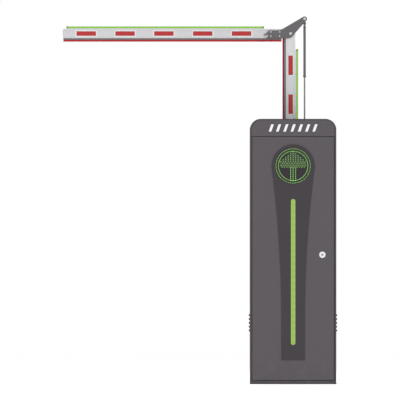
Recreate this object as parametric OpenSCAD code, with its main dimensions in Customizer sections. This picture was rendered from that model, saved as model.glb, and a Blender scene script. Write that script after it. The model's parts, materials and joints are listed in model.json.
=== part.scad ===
// Folding-arm parking barrier, drawn with the boom raised.
// X runs to the right, Y runs back from the door, Z is up.
// The origin is the centre of the cabinet's footprint, on the ground.

/* [Cabinet] */
// Width over the side walls
cabinet_w = 332; // [320:2:400]
// Height above the ground
cabinet_h = 1020; // [1000:5:1240]
// Depth from front lip to rear face
cabinet_d = 300; // [290:2:360]
// Radius of the two top corners
cabinet_r = 42; // [36:1:60]
// Thickness of the wrapper, door and cover sheet
sheet_t = 2; // [1.5:0.5:2.5]
// Width of the wrapper's front lip at the sides
lip_w = 7; // [6.5:0.5:10]
// Height of the wrapper's front lip at the top
lip_top = 4; // [3:0.5:8]
// Width of the wrapper's rear lip
rear_lip_w = 16; // [12:1:20]
// Height of the plinth strip under the door
plinth_h = 14; // [12:1:30]
// Height of the fascia above the door
fascia_h = 63; // [56:1:90]
// Gap between the door and the pieces around it
door_gap = 2; // [1.5:0.5:3]

/* [Side vents] */
// Louvres on each side wall
vent_count = 5; // [3:1:8]
// Spacing of the louvres
vent_pitch = 14.7; // [12:0.1:20]
// Height of the middle of the louvre field
vent_z = 235; // [150:1:400]
// Length of a louvre along the wall
vent_len = 120; // [60:5:200]
// How far a louvre stands out of the wall
vent_out = 4; // [3:0.5:6]

/* [Base] */
// Thickness of the base floor
floor_t = 6; // [5:0.5:10]
// Anchor bolt spacing across the cabinet
anchor_dx = 250; // [200:5:280]
// Anchor bolt spacing from front to back
anchor_dy = 200; // [160:5:230]
// Radius of an anchor bolt hole
anchor_hole_r = 7; // [5:0.5:9]
// Width of the cable opening in the floor
cable_w = 100; // [60:5:140]
// Depth of the cable opening in the floor
cable_d = 70; // [40:5:90]

/* [Door] */
// Depth of the door tray
door_depth = 18; // [16:1:20]
// Radius of a hinge pin
hinge_pin_r = 2.5; // [2:0.25:3]
// Distance of the hinge axis from the door's edge
hinge_inset = 6; // [5:0.5:8]
// Radius of the round display in the door
display_r = 70; // [55:1:76]
// Radius of the round head of the inlay
inlay_r = 83; // [78:1:95]
// Distance of the display centre below the cabinet top
display_drop = 181; // [170:1:260]
// Width of the narrow lower part of the inlay
inlay_waist = 90.6; // [70:0.2:110]
// Height of the lower edge of the inlay
inlay_z = 92; // [60:1:140]
// Height at which the inlay starts to widen
inlay_flare_z = 250; // [200:1:320]
// How far the inlay stands proud of the door
inlay_t = 1.5; // [1:0.25:2.5]
// Width of the light bar
light_w = 18.5; // [12:0.5:26]
// Height of the lower end of the light bar
light_z = 150; // [130:1:250]
// Length of the light bar
light_len = 563; // [400:1:580]

/* [Lock] */
// Distance of the lock from the door's middle
lock_x = 112.4; // [105:0.2:125]
// Height of the lock
lock_z = 497.6; // [300:1:700]
// Radius of the lock's rim
lock_rim_r = 12.2; // [10:0.2:16]
// Radius of the turning lock cylinder
lock_core_r = 4.5; // [4:0.25:6]
// Reach of the locking cam from the lock's axis
cam_reach = 46; // [42:1:56]

/* [Boom] */
// Sideways place of the shaft and of the raised arm
shaft_x = -8; // [-20:1:10]
// Distance of the shaft below the cabinet top
shaft_drop = 160; // [140:1:200]
// Radius of the main shaft
shaft_r = 20; // [16:0.5:24]
// Distance from the shaft to the elbow pivot
lower_len = 491; // [400:1:700]
// Distance from the elbow pivot to the boom's end
outer_len = 878; // [700:1:1400]
// Width of the arm profile, seen from the front
arm_w = 36; // [30:0.2:44]
// Thickness of the arm profile from front to back
arm_t = 26; // [24:0.5:30]
// Wall of the arm profile
arm_wall = 2.4; // [2:0.1:3]
// Depth of the aluminium carrier under the arm
carrier_h = 6.3; // [5:0.1:8]
// Depth of the rubber edge under the carrier
rubber_h = 7; // [5:0.1:10]
// Height of the light strip
strip_h = 8; // [6:0.1:10]
// Height of the white strip under the outer arm's light
strip_base_h = 2; // [1.5:0.1:3]
// Height of the white strip beside the lower arm's light
lower_base_h = 3.4; // [2:0.1:4]
// Length of a red reflector
sticker_len = 75; // [50:1:90]
// Width of a red reflector
sticker_w = 17.5; // [14:0.5:18]
// Width of the white border round a reflector
sticker_edge = 4.5; // [2:0.5:5]
// Spacing of the red reflectors
sticker_pitch = 150; // [120:1:200]

/* [Elbow] */
// Thickness of each crank plate
crank_t = 4; // [3:0.5:5]
// Sideways offset of the crank pin from the elbow pivot
crank_dx = 54; // [50:1:60]
// Upward offset of the crank pin from the elbow pivot
crank_dz = 57; // [52:1:62]
// Radius of the crank plate round the elbow pivot
crank_lobe_r = 18; // [16:0.5:20]
// Radius of the crank plate round the crank pin
crank_tip_r = 9.3; // [8:0.1:12]
// Radius of the elbow pivot bolt
elbow_bolt_r = 5.5; // [5:0.5:9]
// Radius of the crank pin and of the link's lower pin
link_pin_r = 4; // [3.5:0.25:5]
// Radius of the link's upper tube
link_tube_r = 4.8; // [4.2:0.1:6]
// Radius of the link's thin rod
link_rod_r = 3; // [2.5:0.1:4]

/* [Drive] */
// Throw of the shaft lever and of the drive crank
lever_r = 60; // [50:1:64]
// Height of the gearbox output shaft
output_z = 560; // [540:1:620]
// Radius of the gearbox output shaft
output_r = 15; // [12:0.5:18]
// Radius of the lever pins
lever_pin_r = 5; // [4:0.5:6]
// Radius of the coil of the balance spring
spring_r = 21; // [18:0.5:23]
// Radius of the spring wire
spring_wire_r = 2.5; // [2:0.25:3]
// Turns of the balance spring
spring_turns = 12; // [8:1:14]
// Height of the upper spring seat
spring_seat_z = 430; // [420:1:470]
// Length of the balance spring with the boom raised
spring_len = 216; // [200:1:230]

/* [Fits] */
// Radial running clearance of a pin or shaft
run_gap = 0.05; // [0.03:0.01:0.1]
// Radial clearance of the pivots that close a linkage
open_gap = 0.09; // [0.06:0.01:0.1]
// Clearance between pieces that sit in one another
seat_gap = 0.3; // [0.2:0.05:0.5]

/* [Hidden] */
$fn = 64;
flare_fn = 720;

// Colours
dark_grey = [0.37, 0.35, 0.37];
edge_grey = [0.34, 0.32, 0.34];
inlay_grey = [0.28, 0.26, 0.28];
steel = [0.66, 0.67, 0.69];
dark_steel = [0.42, 0.42, 0.43];
arm_grey = [0.82, 0.82, 0.83];
carrier_grey = [0.55, 0.56, 0.57];
signal_red = [0.7, 0.2, 0.22];
light_green = [0.62, 0.8, 0.4];
white = [0.93, 0.93, 0.93];
black = [0.12, 0.12, 0.13];
cast_grey = [0.5, 0.52, 0.54];
motor_blue = [0.25, 0.33, 0.42];

// Planes from front to back
y_front = -cabinet_d / 2;
y_rear = cabinet_d / 2;
door_y = y_front + sheet_t;
frame_y = y_front + door_depth + 4;
chassis_y0 = 0;
plate_t = 6;
bearing_d = 22;
chassis_y1 = y_rear - sheet_t - bearing_d - plate_t - 2;
lever_y = 24;
lever_t = 12;
rod_y = lever_y + lever_t + 1;
rod_mid = rod_y + lever_t / 2;

// Cabinet sizes
inner_w = cabinet_w - 2 * sheet_t;
lip_in_w = cabinet_w - 2 * lip_w;
fit_w = lip_in_w - 2 * seat_gap;
door_w = lip_in_w - 2 * door_gap;
fascia_z = cabinet_h - lip_top - fascia_h;
door_z0 = plinth_h + door_gap;
door_z1 = fascia_z - door_gap;
door_h = door_z1 - door_z0;
frame_gap = 9;
cable_y = -75;
frame_w = lip_in_w - 2 * frame_gap;
frame_z0 = door_z0 + 8;
frame_z1 = door_z1 - 16;
hinge_x = -door_w / 2 + hinge_inset;
hinge_y = y_front + 5;
hinge_pin_len = 20;
display_z = cabinet_h - display_drop;
flare_h = display_z - inlay_flare_z;
flare_r = (pow(inlay_waist / 2, 2) + pow(flare_h, 2) - pow(inlay_r, 2)) / (2 * inlay_r - inlay_waist);

// Boom sizes
shaft_z = cabinet_h - shaft_drop;
pivot_z = shaft_z + lower_len;
arm_y = y_rear + 22;
arm_mid = arm_y + arm_t / 2;
edge_t = 20;
shim = 0.5;
crank_y0 = arm_y - shim - crank_t;
crank_y1 = arm_y + arm_t + shim;
pin_x = shaft_x + crank_dx;
pin_z = pivot_z + crank_dz;
anchor_z = shaft_z + crank_dz;
elbow_space = 3.7;
outer_x1 = shaft_x - arm_w / 2 - carrier_h - rubber_h - elbow_space;
outer_x0 = shaft_x - outer_len;
strip_x1 = shaft_x - 103;
strip_x0 = outer_x0 + 12;
strip_z1 = pivot_z - 61;
strip_z0 = shaft_z + 90;
tongue_h = 30.4;
tongue_x = shaft_x - 87.6;
bolt_xs = [shaft_x - 76, shaft_x - 42.3];
bolt_zs = [pivot_z - 9.8, pivot_z + 6.4];
bolt_r = 2;
head_r = 3.7;
head_h = 2.2;
eye_r = 9;
eye_t = 10;
hub_t = 8;
cheek_t = 14.7;
holder_w = arm_w + 2 * (seat_gap + cheek_t);
holder_drop = 45;
holder_rise = 80;
holder_wall = 6;
clamp_x = (holder_w - cheek_t) / 2;
clamp_xs = [-clamp_x, clamp_x];
clamp_zs = [-35, 66];

// Drive sizes
hub_r = shaft_r + 10;
lever_w = 26;
lever_dx = lever_r * cos(45);
stop_l = hub_r + 18;
buffer_r = 8;
stop_off = lever_w / 2 + buffer_r + 0.5;
stop_dx = (stop_off - stop_l) * cos(45);
stop_dz = (stop_off + stop_l) * cos(45);
gear_w = 128;
gear_h = 144;
gear_d = 64;
gear_wall = 6;
gear_y = chassis_y1 - gear_d;
gear_cx = shaft_x - 4;
gear_cz = output_z + 8;
motor_x = shaft_x - 47;
motor_y = chassis_y1 - 38;
motor_r = 34;
motor_top = gear_cz - gear_h / 2;
motor_len = 200;
chassis_w = 210;
chassis_top = shaft_z + 70;
spacer_x = 90;
spacer_zs = [60, shaft_z + 40];
spring_x = shaft_x + lever_dx;
shelf_t = 8;
shelf_w = 78;
cup_t = 6;
spring_z0 = spring_seat_z - spring_len;
elec_w = 200;
elec_y = -32;

// ---- helpers ----

// Outline in X and Z with a flat foot and two round top corners
module arch(w, z0, z1, r) {
    translate([-w / 2, z0]) square([w, z1 - r - z0]);
    translate([r - w / 2, z0]) square([w - 2 * r, z1 - z0]);
    for (s = [-1, 1]) translate([s * (w / 2 - r), z1 - r]) circle(r);
}

// Stands an X-Z outline up between two Y planes
module upright(y0, d) {
    translate([0, y0 + d, 0]) rotate([90, 0, 0]) linear_extrude(d) children();
}

// Round bar along Y
module bar_y(x, z, r, y0, y1) {
    translate([x, y1, z]) rotate([90, 0, 0]) cylinder(h = y1 - y0, r = r);
}

// Round bar along Z
module bar_z(x, y, r, z0, z1) {
    translate([x, y, z0]) cylinder(h = z1 - z0, r = r);
}

// Block between two corners
module block(x0, x1, y0, y1, z0, z1) {
    translate([x0, y0, z0]) cube([x1 - x0, y1 - y0, z1 - z0]);
}

// Hexagon head or nut along Y
module hex_y(x, z, r, y0, y1) {
    translate([x, y1, z]) rotate([90, 0, 0]) cylinder(h = y1 - y0, r = r, $fn = 6);
}

// Upright slot with round ends, as an X-Z outline
module pill(x, z0, z1, w) {
    translate([x - w / 2, z0 + w / 2]) square([w, z1 - z0 - w]);
    for (z = [z0 + w / 2, z1 - w / 2]) translate([x, z]) circle(w / 2);
}

// Straight-sided web between two circles: the outer tangents of c1 and c2
function unit(v) = v / norm(v);
function tangent_pt(c1, r1, c2, r2, s, r) =
    let (d = c2 - c1, u = unit(d), k = (r1 - r2) / norm(d), n = [-u[1], u[0]])
    r * (k * u + s * sqrt(1 - k * k) * n);
module web(c1, r1, c2, r2) {
    polygon([c1 + tangent_pt(c1, r1, c2, r2, 1, r1), c2 + tangent_pt(c1, r1, c2, r2, 1, r2),
        c2 + tangent_pt(c1, r1, c2, r2, -1, r2), c1 + tangent_pt(c1, r1, c2, r2, -1, r1)]);
    translate(c1) circle(r1);
    translate(c2) circle(r2);
}

// Spots on the rear lip where the rear panel is screwed on
panel_screw_x = inner_w / 2 - 9;
panel_screws = [for (s = [-1, 1]) for (z = [40, cabinet_h * 0.35, cabinet_h * 0.65, cabinet_h - 60])
    [s * panel_screw_x, z]];
anchor_screws = [for (x = [-16, 16]) for (z = [-20, 36]) [pin_x + 6 + x, anchor_z + z]];

// ---- cabinet ----

rim_t = 3;
module base_plate() color(edge_grey) difference() {
    union() {
        block(-inner_w / 2 + seat_gap, inner_w / 2 - seat_gap, door_y + seat_gap,
            y_rear - 2 * sheet_t - seat_gap, 0, floor_t);
        block(-fit_w / 2, fit_w / 2, y_front, door_y + seat_gap, 0, plinth_h);
        for (s = [0, 1]) mirror([s, 0, 0])
            block(inner_w / 2 - seat_gap - rim_t, inner_w / 2 - seat_gap, frame_y + sheet_t + seat_gap,
                y_rear - 2 * sheet_t - seat_gap, 0, plinth_h);
        block(hinge_x - 8, hinge_x + 8, door_y + seat_gap, hinge_y + 8, 0, plinth_h);
    }
    for (x = [-1, 1]) for (y = [-1, 1])
        bar_z(x * anchor_dx / 2, y * anchor_dy / 2, anchor_hole_r, -1, floor_t + 1);
    translate([0, cable_y, 0]) cube([cable_w, cable_d, 3 * floor_t], center = true);
    bar_z(hinge_x, hinge_y, hinge_pin_r, floor_t, plinth_h + 1);
}

// Pressed louvre on the right-hand wall, open downwards
module louvre(z) translate([cabinet_w / 2, 0, z]) difference() {
    upright(-vent_len / 2, vent_len)
        polygon([[0, 4.5], [vent_out * 0.6, 3.4], [vent_out, 1], [vent_out, -3.5], [0, -3.5]]);
    louvre_hollow();
}
module louvre_hollow() upright(1.5 - vent_len / 2, vent_len - 3)
    polygon([[-sheet_t - 1, 2], [vent_out * 0.4, 2], [vent_out - 1.2, 0.2], [vent_out - 1.2, -4.5],
        [-sheet_t - 1, -4.5]]);
vent_zs = [for (i = [0:vent_count - 1]) vent_z + (i - (vent_count - 1) / 2) * vent_pitch];

module cabinet_shell() color(edge_grey) {
    difference() {
        union() {
            upright(y_front, cabinet_d) difference() {
                arch(cabinet_w, 0, cabinet_h, cabinet_r);
                arch(inner_w, -1, cabinet_h - sheet_t, cabinet_r - sheet_t);
            }
            upright(y_front, sheet_t) difference() {
                arch(cabinet_w, 0, cabinet_h, cabinet_r);
                arch(lip_in_w, -1, cabinet_h - lip_top, cabinet_r - 5);
            }
            upright(y_rear - 2 * sheet_t, sheet_t) difference() {
                arch(cabinet_w, 0, cabinet_h, cabinet_r);
                arch(cabinet_w - 2 * rear_lip_w, -1, cabinet_h - rear_lip_w, cabinet_r - rear_lip_w);
            }
        }
        for (z = vent_zs) for (m = [0, 1]) mirror([m, 0, 0])
            translate([cabinet_w / 2, 0, z]) louvre_hollow();
        for (p = panel_screws) bar_y(p[0], p[1], bolt_r, y_rear - 3 * sheet_t, y_rear);
    }
    for (z = vent_zs) for (m = [0, 1]) mirror([m, 0, 0]) louvre(z);
}

module rear_panel() color(edge_grey) upright(y_rear - sheet_t, sheet_t) difference() {
    arch(inner_w - 2 * seat_gap, 1, cabinet_h - sheet_t - seat_gap, cabinet_r - sheet_t - seat_gap);
    translate([shaft_x, shaft_z]) circle(shaft_r + 6);
    for (p = panel_screws) translate(p) circle(bolt_r);
}

module fascia_outline(inset) intersection() {
    arch(fit_w - 2 * inset, 0, cabinet_h - lip_top - seat_gap - inset, cabinet_r - 5 - seat_gap - inset);
    translate([-cabinet_w / 2, fascia_z + inset]) square([cabinet_w, cabinet_h]);
}
module top_fascia() color(dark_grey) difference() {
    upright(y_front, frame_y - y_front) fascia_outline(0);
    upright(door_y, frame_y - door_y + 1) fascia_outline(sheet_t);
    bar_z(hinge_x, hinge_y, hinge_pin_r, fascia_z - 1, fascia_z + sheet_t + 1);
}

// Row of slanted bars in place of lettering
emblem_bars = 7;
emblem_pitch = 28;
emblem_drop = 49;
module fascia_emblem() color(white) upright(y_front - 0.8, 0.8)
    for (i = [0:emblem_bars - 1])
        translate([(i - (emblem_bars - 1) / 2) * emblem_pitch, cabinet_h - emblem_drop])
            polygon([[-10, 0], [0, 0], [10, 28], [0, 28]]);

module front_frame() color(edge_grey) upright(frame_y, sheet_t) difference() {
    arch(inner_w - 2 * seat_gap, floor_t + seat_gap, cabinet_h - sheet_t - seat_gap,
        cabinet_r - sheet_t - seat_gap);
    translate([-frame_w / 2, frame_z0]) square([frame_w, frame_z1 - frame_z0]);
}

seal_t = 2.3;
seal_w = 7;
module door_seal() color(black) upright(frame_y - seal_t, seal_t) difference() {
    translate([-frame_w / 2 - seal_w, frame_z0 - seal_w])
        square([frame_w + 2 * seal_w, frame_z1 - frame_z0 + 2 * seal_w]);
    translate([-frame_w / 2, frame_z0]) square([frame_w, frame_z1 - frame_z0]);
}

module hinge_pins() color(steel) {
    bar_z(hinge_x, hinge_y, hinge_pin_r, floor_t, door_z0 + 12);
    bar_z(hinge_x, hinge_y, hinge_pin_r + 2, plinth_h, door_z0 - seat_gap);
    bar_z(hinge_x, hinge_y, hinge_pin_r, door_z1 - 12, fascia_z + sheet_t + 1);
    bar_z(hinge_x, hinge_y, hinge_pin_r + 0.4, fascia_z + sheet_t, fascia_z + sheet_t + 3);
}

// ---- chassis and drive ----

post_r = 4;
sensor_r = 6;
sensor_l = 58;
sensor_pos = [for (s = [-1, 1]) [shaft_x + sensor_l * cos(45), shaft_z + s * sensor_l * cos(45)]];
stop_pos = [for (s = [-1, 1]) [shaft_x + stop_dx, shaft_z + s * stop_dz]];
flange_r = shaft_r + 23;
flange_bolt = shaft_r + 17.4;
flange_bolts = [for (a = [0:90:270]) [shaft_x + flange_bolt * cos(a), shaft_z + flange_bolt * sin(a)]];

module chassis_outline() difference() {
    translate([-chassis_w / 2, floor_t]) square([chassis_w, chassis_top - floor_t]);
    translate([shaft_x, shaft_z]) circle(shaft_r + 1);
    for (s = [-1, 1]) for (z = spacer_zs) translate([s * spacer_x, z]) circle(post_r);
    for (p = flange_bolts) translate(p) circle(bolt_r + 1);
}
module chassis_foot(y0, y1) block(-chassis_w / 2 + 5, chassis_w / 2 - 5, y0, y1, floor_t, floor_t + plate_t);

module chassis_plate_front() color(steel) {
    upright(chassis_y0, plate_t) difference() {
        chassis_outline();
        for (p = stop_pos) translate(p) circle(post_r);
        for (p = sensor_pos) translate(p) circle(sensor_r);
    }
    chassis_foot(chassis_y0 + plate_t, chassis_y0 + plate_t + 24);
}
module chassis_plate_rear() color(steel) {
    upright(chassis_y1, plate_t) chassis_outline();
    chassis_foot(chassis_y1 - 20, chassis_y1);
}

// Spacer bars between the plates, and the two stepped posts that carry the stop buffers
module chassis_posts() color(steel) {
    for (s = [-1, 1]) for (z = spacer_zs) {
        bar_y(s * spacer_x, z, 9, chassis_y0 + plate_t, chassis_y1);
        bar_y(s * spacer_x, z, post_r, chassis_y0 - 4, chassis_y1 + plate_t + 4);
        hex_y(s * spacer_x, z, 8, chassis_y0 - 6, chassis_y0);
        hex_y(s * spacer_x, z, 8, chassis_y1 + plate_t, chassis_y1 + plate_t + 6);
    }
    for (p = stop_pos) {
        bar_y(p[0], p[1], post_r, chassis_y0 - 3, lever_y + lever_t + 1);
        bar_y(p[0], p[1], post_r + 3, chassis_y0 + plate_t, lever_y - 6);
        hex_y(p[0], p[1], 7, chassis_y0 - 5, chassis_y0);
    }
}

// One flanged bearing with its four bolts; side is +1 for a boss that points back
module flange_bearing(face, side) {
    far = face + side * bearing_d;
    mid = face + side * 10;
    difference() {
        union() {
            bar_y(shaft_x, shaft_z, flange_r, min(face, mid), max(face, mid));
            bar_y(shaft_x, shaft_z, shaft_r + 11, min(face, far), max(face, far));
        }
        bar_y(shaft_x, shaft_z, shaft_r + run_gap, min(face, far) - 1, max(face, far) + 1);
        for (p = flange_bolts) bar_y(p[0], p[1], bolt_r + 1, min(face, mid) - 1, max(face, mid) + 1);
    }
    for (p = flange_bolts) {
        bar_y(p[0], p[1], bolt_r + 1, min(face - side * plate_t, mid), max(face - side * plate_t, mid));
        hex_y(p[0], p[1], 5.5, min(mid, mid + side * 5), max(mid, mid + side * 5));
    }
}
module shaft_bearings() color(cast_grey) {
    flange_bearing(chassis_y0, -1);
    flange_bearing(chassis_y1 + plate_t, 1);
}

module shaft_seal_cover() color(black) difference() {
    union() {
        bar_y(shaft_x, shaft_z, shaft_r + 18, y_rear, y_rear + 3);
        bar_y(shaft_x, shaft_z, shaft_r + 8, y_rear, y_rear + 6);
    }
    bar_y(shaft_x, shaft_z, shaft_r + 0.4, y_rear - 1, y_rear + 7);
}

module gearbox_housing() color(cast_grey) difference() {
    union() {
        translate([gear_cx, gear_y + (gear_d - gear_wall) / 2, gear_cz])
            cube([gear_w, gear_d - gear_wall, gear_h], center = true);
        bar_y(shaft_x, output_z, 32, gear_y - 3, gear_y);
        for (x = [-40:16:40])
            block(gear_cx + x - 1.5, gear_cx + x + 1.5, gear_y + 6, gear_y + gear_d - 8,
                gear_cz + gear_h / 2, gear_cz + gear_h / 2 + 8);
    }
    translate([gear_cx, gear_y + gear_d / 2, gear_cz])
        cube([gear_w - 2 * gear_wall, gear_d - 2 * gear_wall, gear_h - 2 * gear_wall], center = true);
    bar_y(shaft_x, output_z, output_r + run_gap, gear_y - 4, gear_y + gear_wall + 1);
    bar_z(motor_x, motor_y, 12, motor_top - 1, motor_top + gear_wall + 1);
    bar_z(motor_x, motor_y, worm_shaft_r + run_gap, gear_cz, gear_cz + gear_h / 2 - 2);
}
module gearbox_cover() color(cast_grey) difference() {
    translate([gear_cx, chassis_y1 - gear_wall / 2, gear_cz])
        cube([gear_w, gear_wall, gear_h], center = true);
    bar_y(shaft_x, output_z, output_r + run_gap, chassis_y1 - gear_wall - 1, chassis_y1 - 2);
}

fin_count = 16;
fin_pitch = 10;
rotor_r = 22;
worm_shaft_r = 7;
worm_r = 12;
worm_len = 64;
worm_pitch = 8;
worm_tooth = 3;
motor_z0 = motor_top - motor_len;
fan_h = 14;
module motor_housing() color(motor_blue) difference() {
    union() {
        translate([motor_x, motor_y, motor_top - 4]) cube([74, 74, 8], center = true);
        bar_z(motor_x, motor_y, motor_r - 4, motor_z0, motor_top - 8);
        bar_z(motor_x, motor_y, 11.7, motor_top - 1, motor_top + gear_wall);
        for (i = [0:fin_count - 1])
            bar_z(motor_x, motor_y, motor_r, motor_top - 30 - i * fin_pitch, motor_top - 26 - i * fin_pitch);
        bar_z(motor_x, motor_y, motor_r, motor_z0 - fan_h, motor_z0);
    }
    bar_z(motor_x, motor_y, rotor_r + 1, motor_z0 + 4, motor_top - 14);
    bar_z(motor_x, motor_y, worm_shaft_r + run_gap, motor_z0 - fan_h - 1, motor_top + gear_wall + 1);
}
// Motor shaft with its rotor, the worm and the hand wheel under the fan cover
module worm_shaft() color(steel) {
    bar_z(motor_x, motor_y, worm_shaft_r, motor_z0 - fan_h - 12, gear_cz + gear_h / 2 - 2.5);
    bar_z(motor_x, motor_y, rotor_r, motor_z0 + 12, motor_top - 24);
    bar_z(motor_x, motor_y, 25, motor_z0 - fan_h - 12, motor_z0 - fan_h - 2);
    difference() {
        bar_z(motor_x, motor_y, worm_r, output_z - worm_len / 2, output_z + worm_len / 2);
        for (z = [worm_pitch - worm_len / 2:worm_pitch:worm_len / 2 - worm_pitch])
            translate([motor_x, motor_y, output_z + z]) rotate_extrude() translate([worm_r, 0])
                polygon([[0.1, -2.6], [0.1, 2.6], [-worm_tooth, 0.8], [-worm_tooth, -0.8]]);
    }
}
module stop_buffers() color(black) for (p = stop_pos) difference() {
    bar_y(p[0], p[1], buffer_r, lever_y - 6, lever_y + lever_t + 1);
    bar_y(p[0], p[1], post_r, lever_y - 7, lever_y + lever_t + 2);
}

// Bracket with a slot in which the spring rod swings
shelf_side = 30;
shelf_rib_t = 5;
shelf_rib_h = 25;
shelf_slot_r = 8;
module spring_shelf() color(steel) difference() {
    shelf_x = spring_x - shelf_side;
    union() {
        block(shelf_x, shelf_x + shelf_w, chassis_y0 + plate_t, chassis_y1, spring_seat_z,
            spring_seat_z + shelf_t);
        block(shelf_x, shelf_x + shelf_w, chassis_y0 + plate_t, chassis_y0 + plate_t + shelf_rib_t,
            spring_seat_z - shelf_rib_h, spring_seat_z);
    }
    for (s = [0:1]) bar_z(spring_x + s * (lever_r - lever_dx), rod_mid, shelf_slot_r, spring_seat_z - 1,
        spring_seat_z + shelf_t + 1);
    block(spring_x, spring_x + lever_r - lever_dx, rod_mid - shelf_slot_r, rod_mid + shelf_slot_r,
        spring_seat_z - 1, spring_seat_z + shelf_t + 1);
}

module limit_sensors() color("orange") for (p = sensor_pos) {
    bar_y(p[0], p[1], sensor_r, chassis_y0 - 24, lever_y - 1.5);
    hex_y(p[0], p[1], 10, chassis_y0 - 4, chassis_y0);
    hex_y(p[0], p[1], 10, chassis_y0 + plate_t, chassis_y0 + plate_t + 4);
}

// ---- electronics ----

elec_t = 2;
elec_z0 = 130;
elec_h = 400;
standoff_x = 85;
standoff_inset = 20;
box_w = 170;
box_z = 330;
box_h = 180;
box_d = 44;
box_wall = 3;
plug_w = 11;
plug_h = 8;
plug_d = 18;
supply_x = -85;
supply_w = 110;
supply_z = 170;
supply_h = 120;
supply_d = 40;
supply_plug_pitch = 17;
terminal_x = 36;
terminal_w = 58;
terminal_z = 205;
terminal_h = 75;
terminal_d = 40;
terminal_pitch = 9;
terminal_count = 6;
rail_t = 6;
rail_inset = 20;

module electronics_plate() color(steel) {
    block(-elec_w / 2, elec_w / 2, elec_y, elec_y + elec_t, elec_z0, elec_z0 + elec_h);
    for (x = [-1, 1]) for (z = [elec_z0 + standoff_inset, elec_z0 + elec_h - standoff_inset])
        bar_y(x * standoff_x, z, 6, elec_y + elec_t, chassis_y0);
}

// Row of plugs under a box, spaced along X
module plug_row(count, x, pitch, y, z) for (i = [0:count - 1])
    block(x + i * pitch, x + i * pitch + plug_w, y - plug_d, y, z - plug_h, z);
module controller_box() color(dark_grey) {
    difference() {
        block(-box_w / 2, box_w / 2, elec_y - box_d, elec_y, box_z, box_z + box_h);
        block(box_wall - box_w / 2, box_w / 2 - box_wall, elec_y - box_d + box_wall, elec_y - box_wall,
            box_z + box_wall, box_z + box_h - box_wall);
    }
    plug_row(10, -75, 15, elec_y - 12, box_z);
}
module power_supply() color(steel) {
    block(supply_x, supply_x + supply_w, elec_y - supply_d, elec_y, supply_z, supply_z + supply_h);
    plug_row(6, supply_x + 7, supply_plug_pitch, elec_y - 10, supply_z);
}
module terminal_block() color(white) {
    block(terminal_x, terminal_x + terminal_w, elec_y - rail_t, elec_y, terminal_z + rail_inset,
        terminal_z + terminal_h - rail_inset);
    for (i = [0:terminal_count - 1]) terminal(terminal_x + 2 + i * terminal_pitch);
}
module terminal(x) difference() {
    block(x, x + terminal_pitch - 1, elec_y - terminal_d, elec_y - rail_t, terminal_z,
        terminal_z + terminal_h);
    for (z = [terminal_z + 10, terminal_z + terminal_h - 10])
        bar_y(x + (terminal_pitch - 1) / 2, z, 2.5, elec_y - terminal_d - 1, elec_y - terminal_d + 10);
}

// ---- main shaft, lever and arm holder ----

module main_shaft() color(steel) {
    bar_y(shaft_x, shaft_z, shaft_r, chassis_y0 - bearing_d - 4, arm_y - 8);
    bar_y(shaft_x, shaft_z, shaft_r + 4, chassis_y0 - bearing_d - 3.5, chassis_y0 - bearing_d - 0.5);
    block(shaft_x - 3, shaft_x + 3, lever_y - 2, lever_y + lever_t, shaft_z, shaft_z + shaft_r + 3);
}

module shaft_lever() color(dark_steel) {
    difference() {
        union() {
            bar_y(shaft_x, shaft_z, hub_r, lever_y - 2, lever_y + lever_t);
            upright(lever_y, lever_t) {
                translate([shaft_x, shaft_z]) rotate(-45) square([2 * lever_r, lever_w], center = true);
                for (s = [-1, 1]) translate([shaft_x + s * lever_dx, shaft_z - s * lever_dx])
                    circle(lever_w / 2);
            }
        }
        bar_y(shaft_x, shaft_z, shaft_r, lever_y - 3, lever_y + lever_t + 1);
        block(shaft_x - 3, shaft_x + 3, lever_y - 3, lever_y + lever_t + 1, shaft_z, shaft_z + shaft_r + 3);
    }
    for (s = [-1, 1]) lever_pin(shaft_x + s * lever_dx, shaft_z - s * lever_dx);
}
// Pin with a retaining ring that carries a rod eye
module lever_pin(x, z) {
    bar_y(x, z, lever_pin_r, lever_y, rod_y + lever_t + 4);
    bar_y(x, z, lever_pin_r + 3, rod_y + lever_t + 0.8, rod_y + lever_t + 2.8);
}

module holder_outline() translate([shaft_x - holder_w / 2, shaft_z - holder_drop])
    square([holder_w, holder_drop + holder_rise]);
module arm_holder() color(edge_grey) difference() {
    union() {
        bar_y(shaft_x, shaft_z, hub_r, y_rear + 7.5, arm_y);
        upright(arm_y - hub_t, hub_t) holder_outline();
        upright(arm_y, arm_t) difference() {
            holder_outline();
            translate([shaft_x - arm_w / 2 - seat_gap, shaft_z - holder_drop - 1])
                square([arm_w + 2 * seat_gap, holder_drop + holder_rise + 2]);
        }
    }
    bar_y(shaft_x, shaft_z, shaft_r, y_rear, arm_y - hub_t);
    bar_y(shaft_x, shaft_z, 6, y_rear, arm_y + 1);
    bar_y(shaft_x, shaft_z, 11, arm_y - 6, arm_y + 1);
    for (x = clamp_xs) for (z = clamp_zs)
        bar_y(shaft_x + x, shaft_z + z, 3, arm_y - 5, arm_y + arm_t + 1);
}
module arm_clamp_plate() color(edge_grey) difference() {
    upright(arm_y + arm_t, holder_wall) holder_outline();
    for (x = clamp_xs) for (z = clamp_zs)
        bar_y(shaft_x + x, shaft_z + z, 3, arm_y + arm_t - 1, arm_y + arm_t + holder_wall + 1);
}
module arm_clamp_bolts() color(steel) {
    for (x = clamp_xs) for (z = clamp_zs) {
        bar_y(shaft_x + x, shaft_z + z, 3, arm_y - 5, arm_y + arm_t + holder_wall);
        hex_y(shaft_x + x, shaft_z + z, 6, arm_y + arm_t + holder_wall, arm_y + arm_t + holder_wall + 5);
    }
    bar_y(shaft_x, shaft_z, 6, arm_y - hub_t, arm_y - 6);
    bar_y(shaft_x, shaft_z, 11, arm_y - 6, arm_y - 0.5);
}

// ---- arms ----

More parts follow.
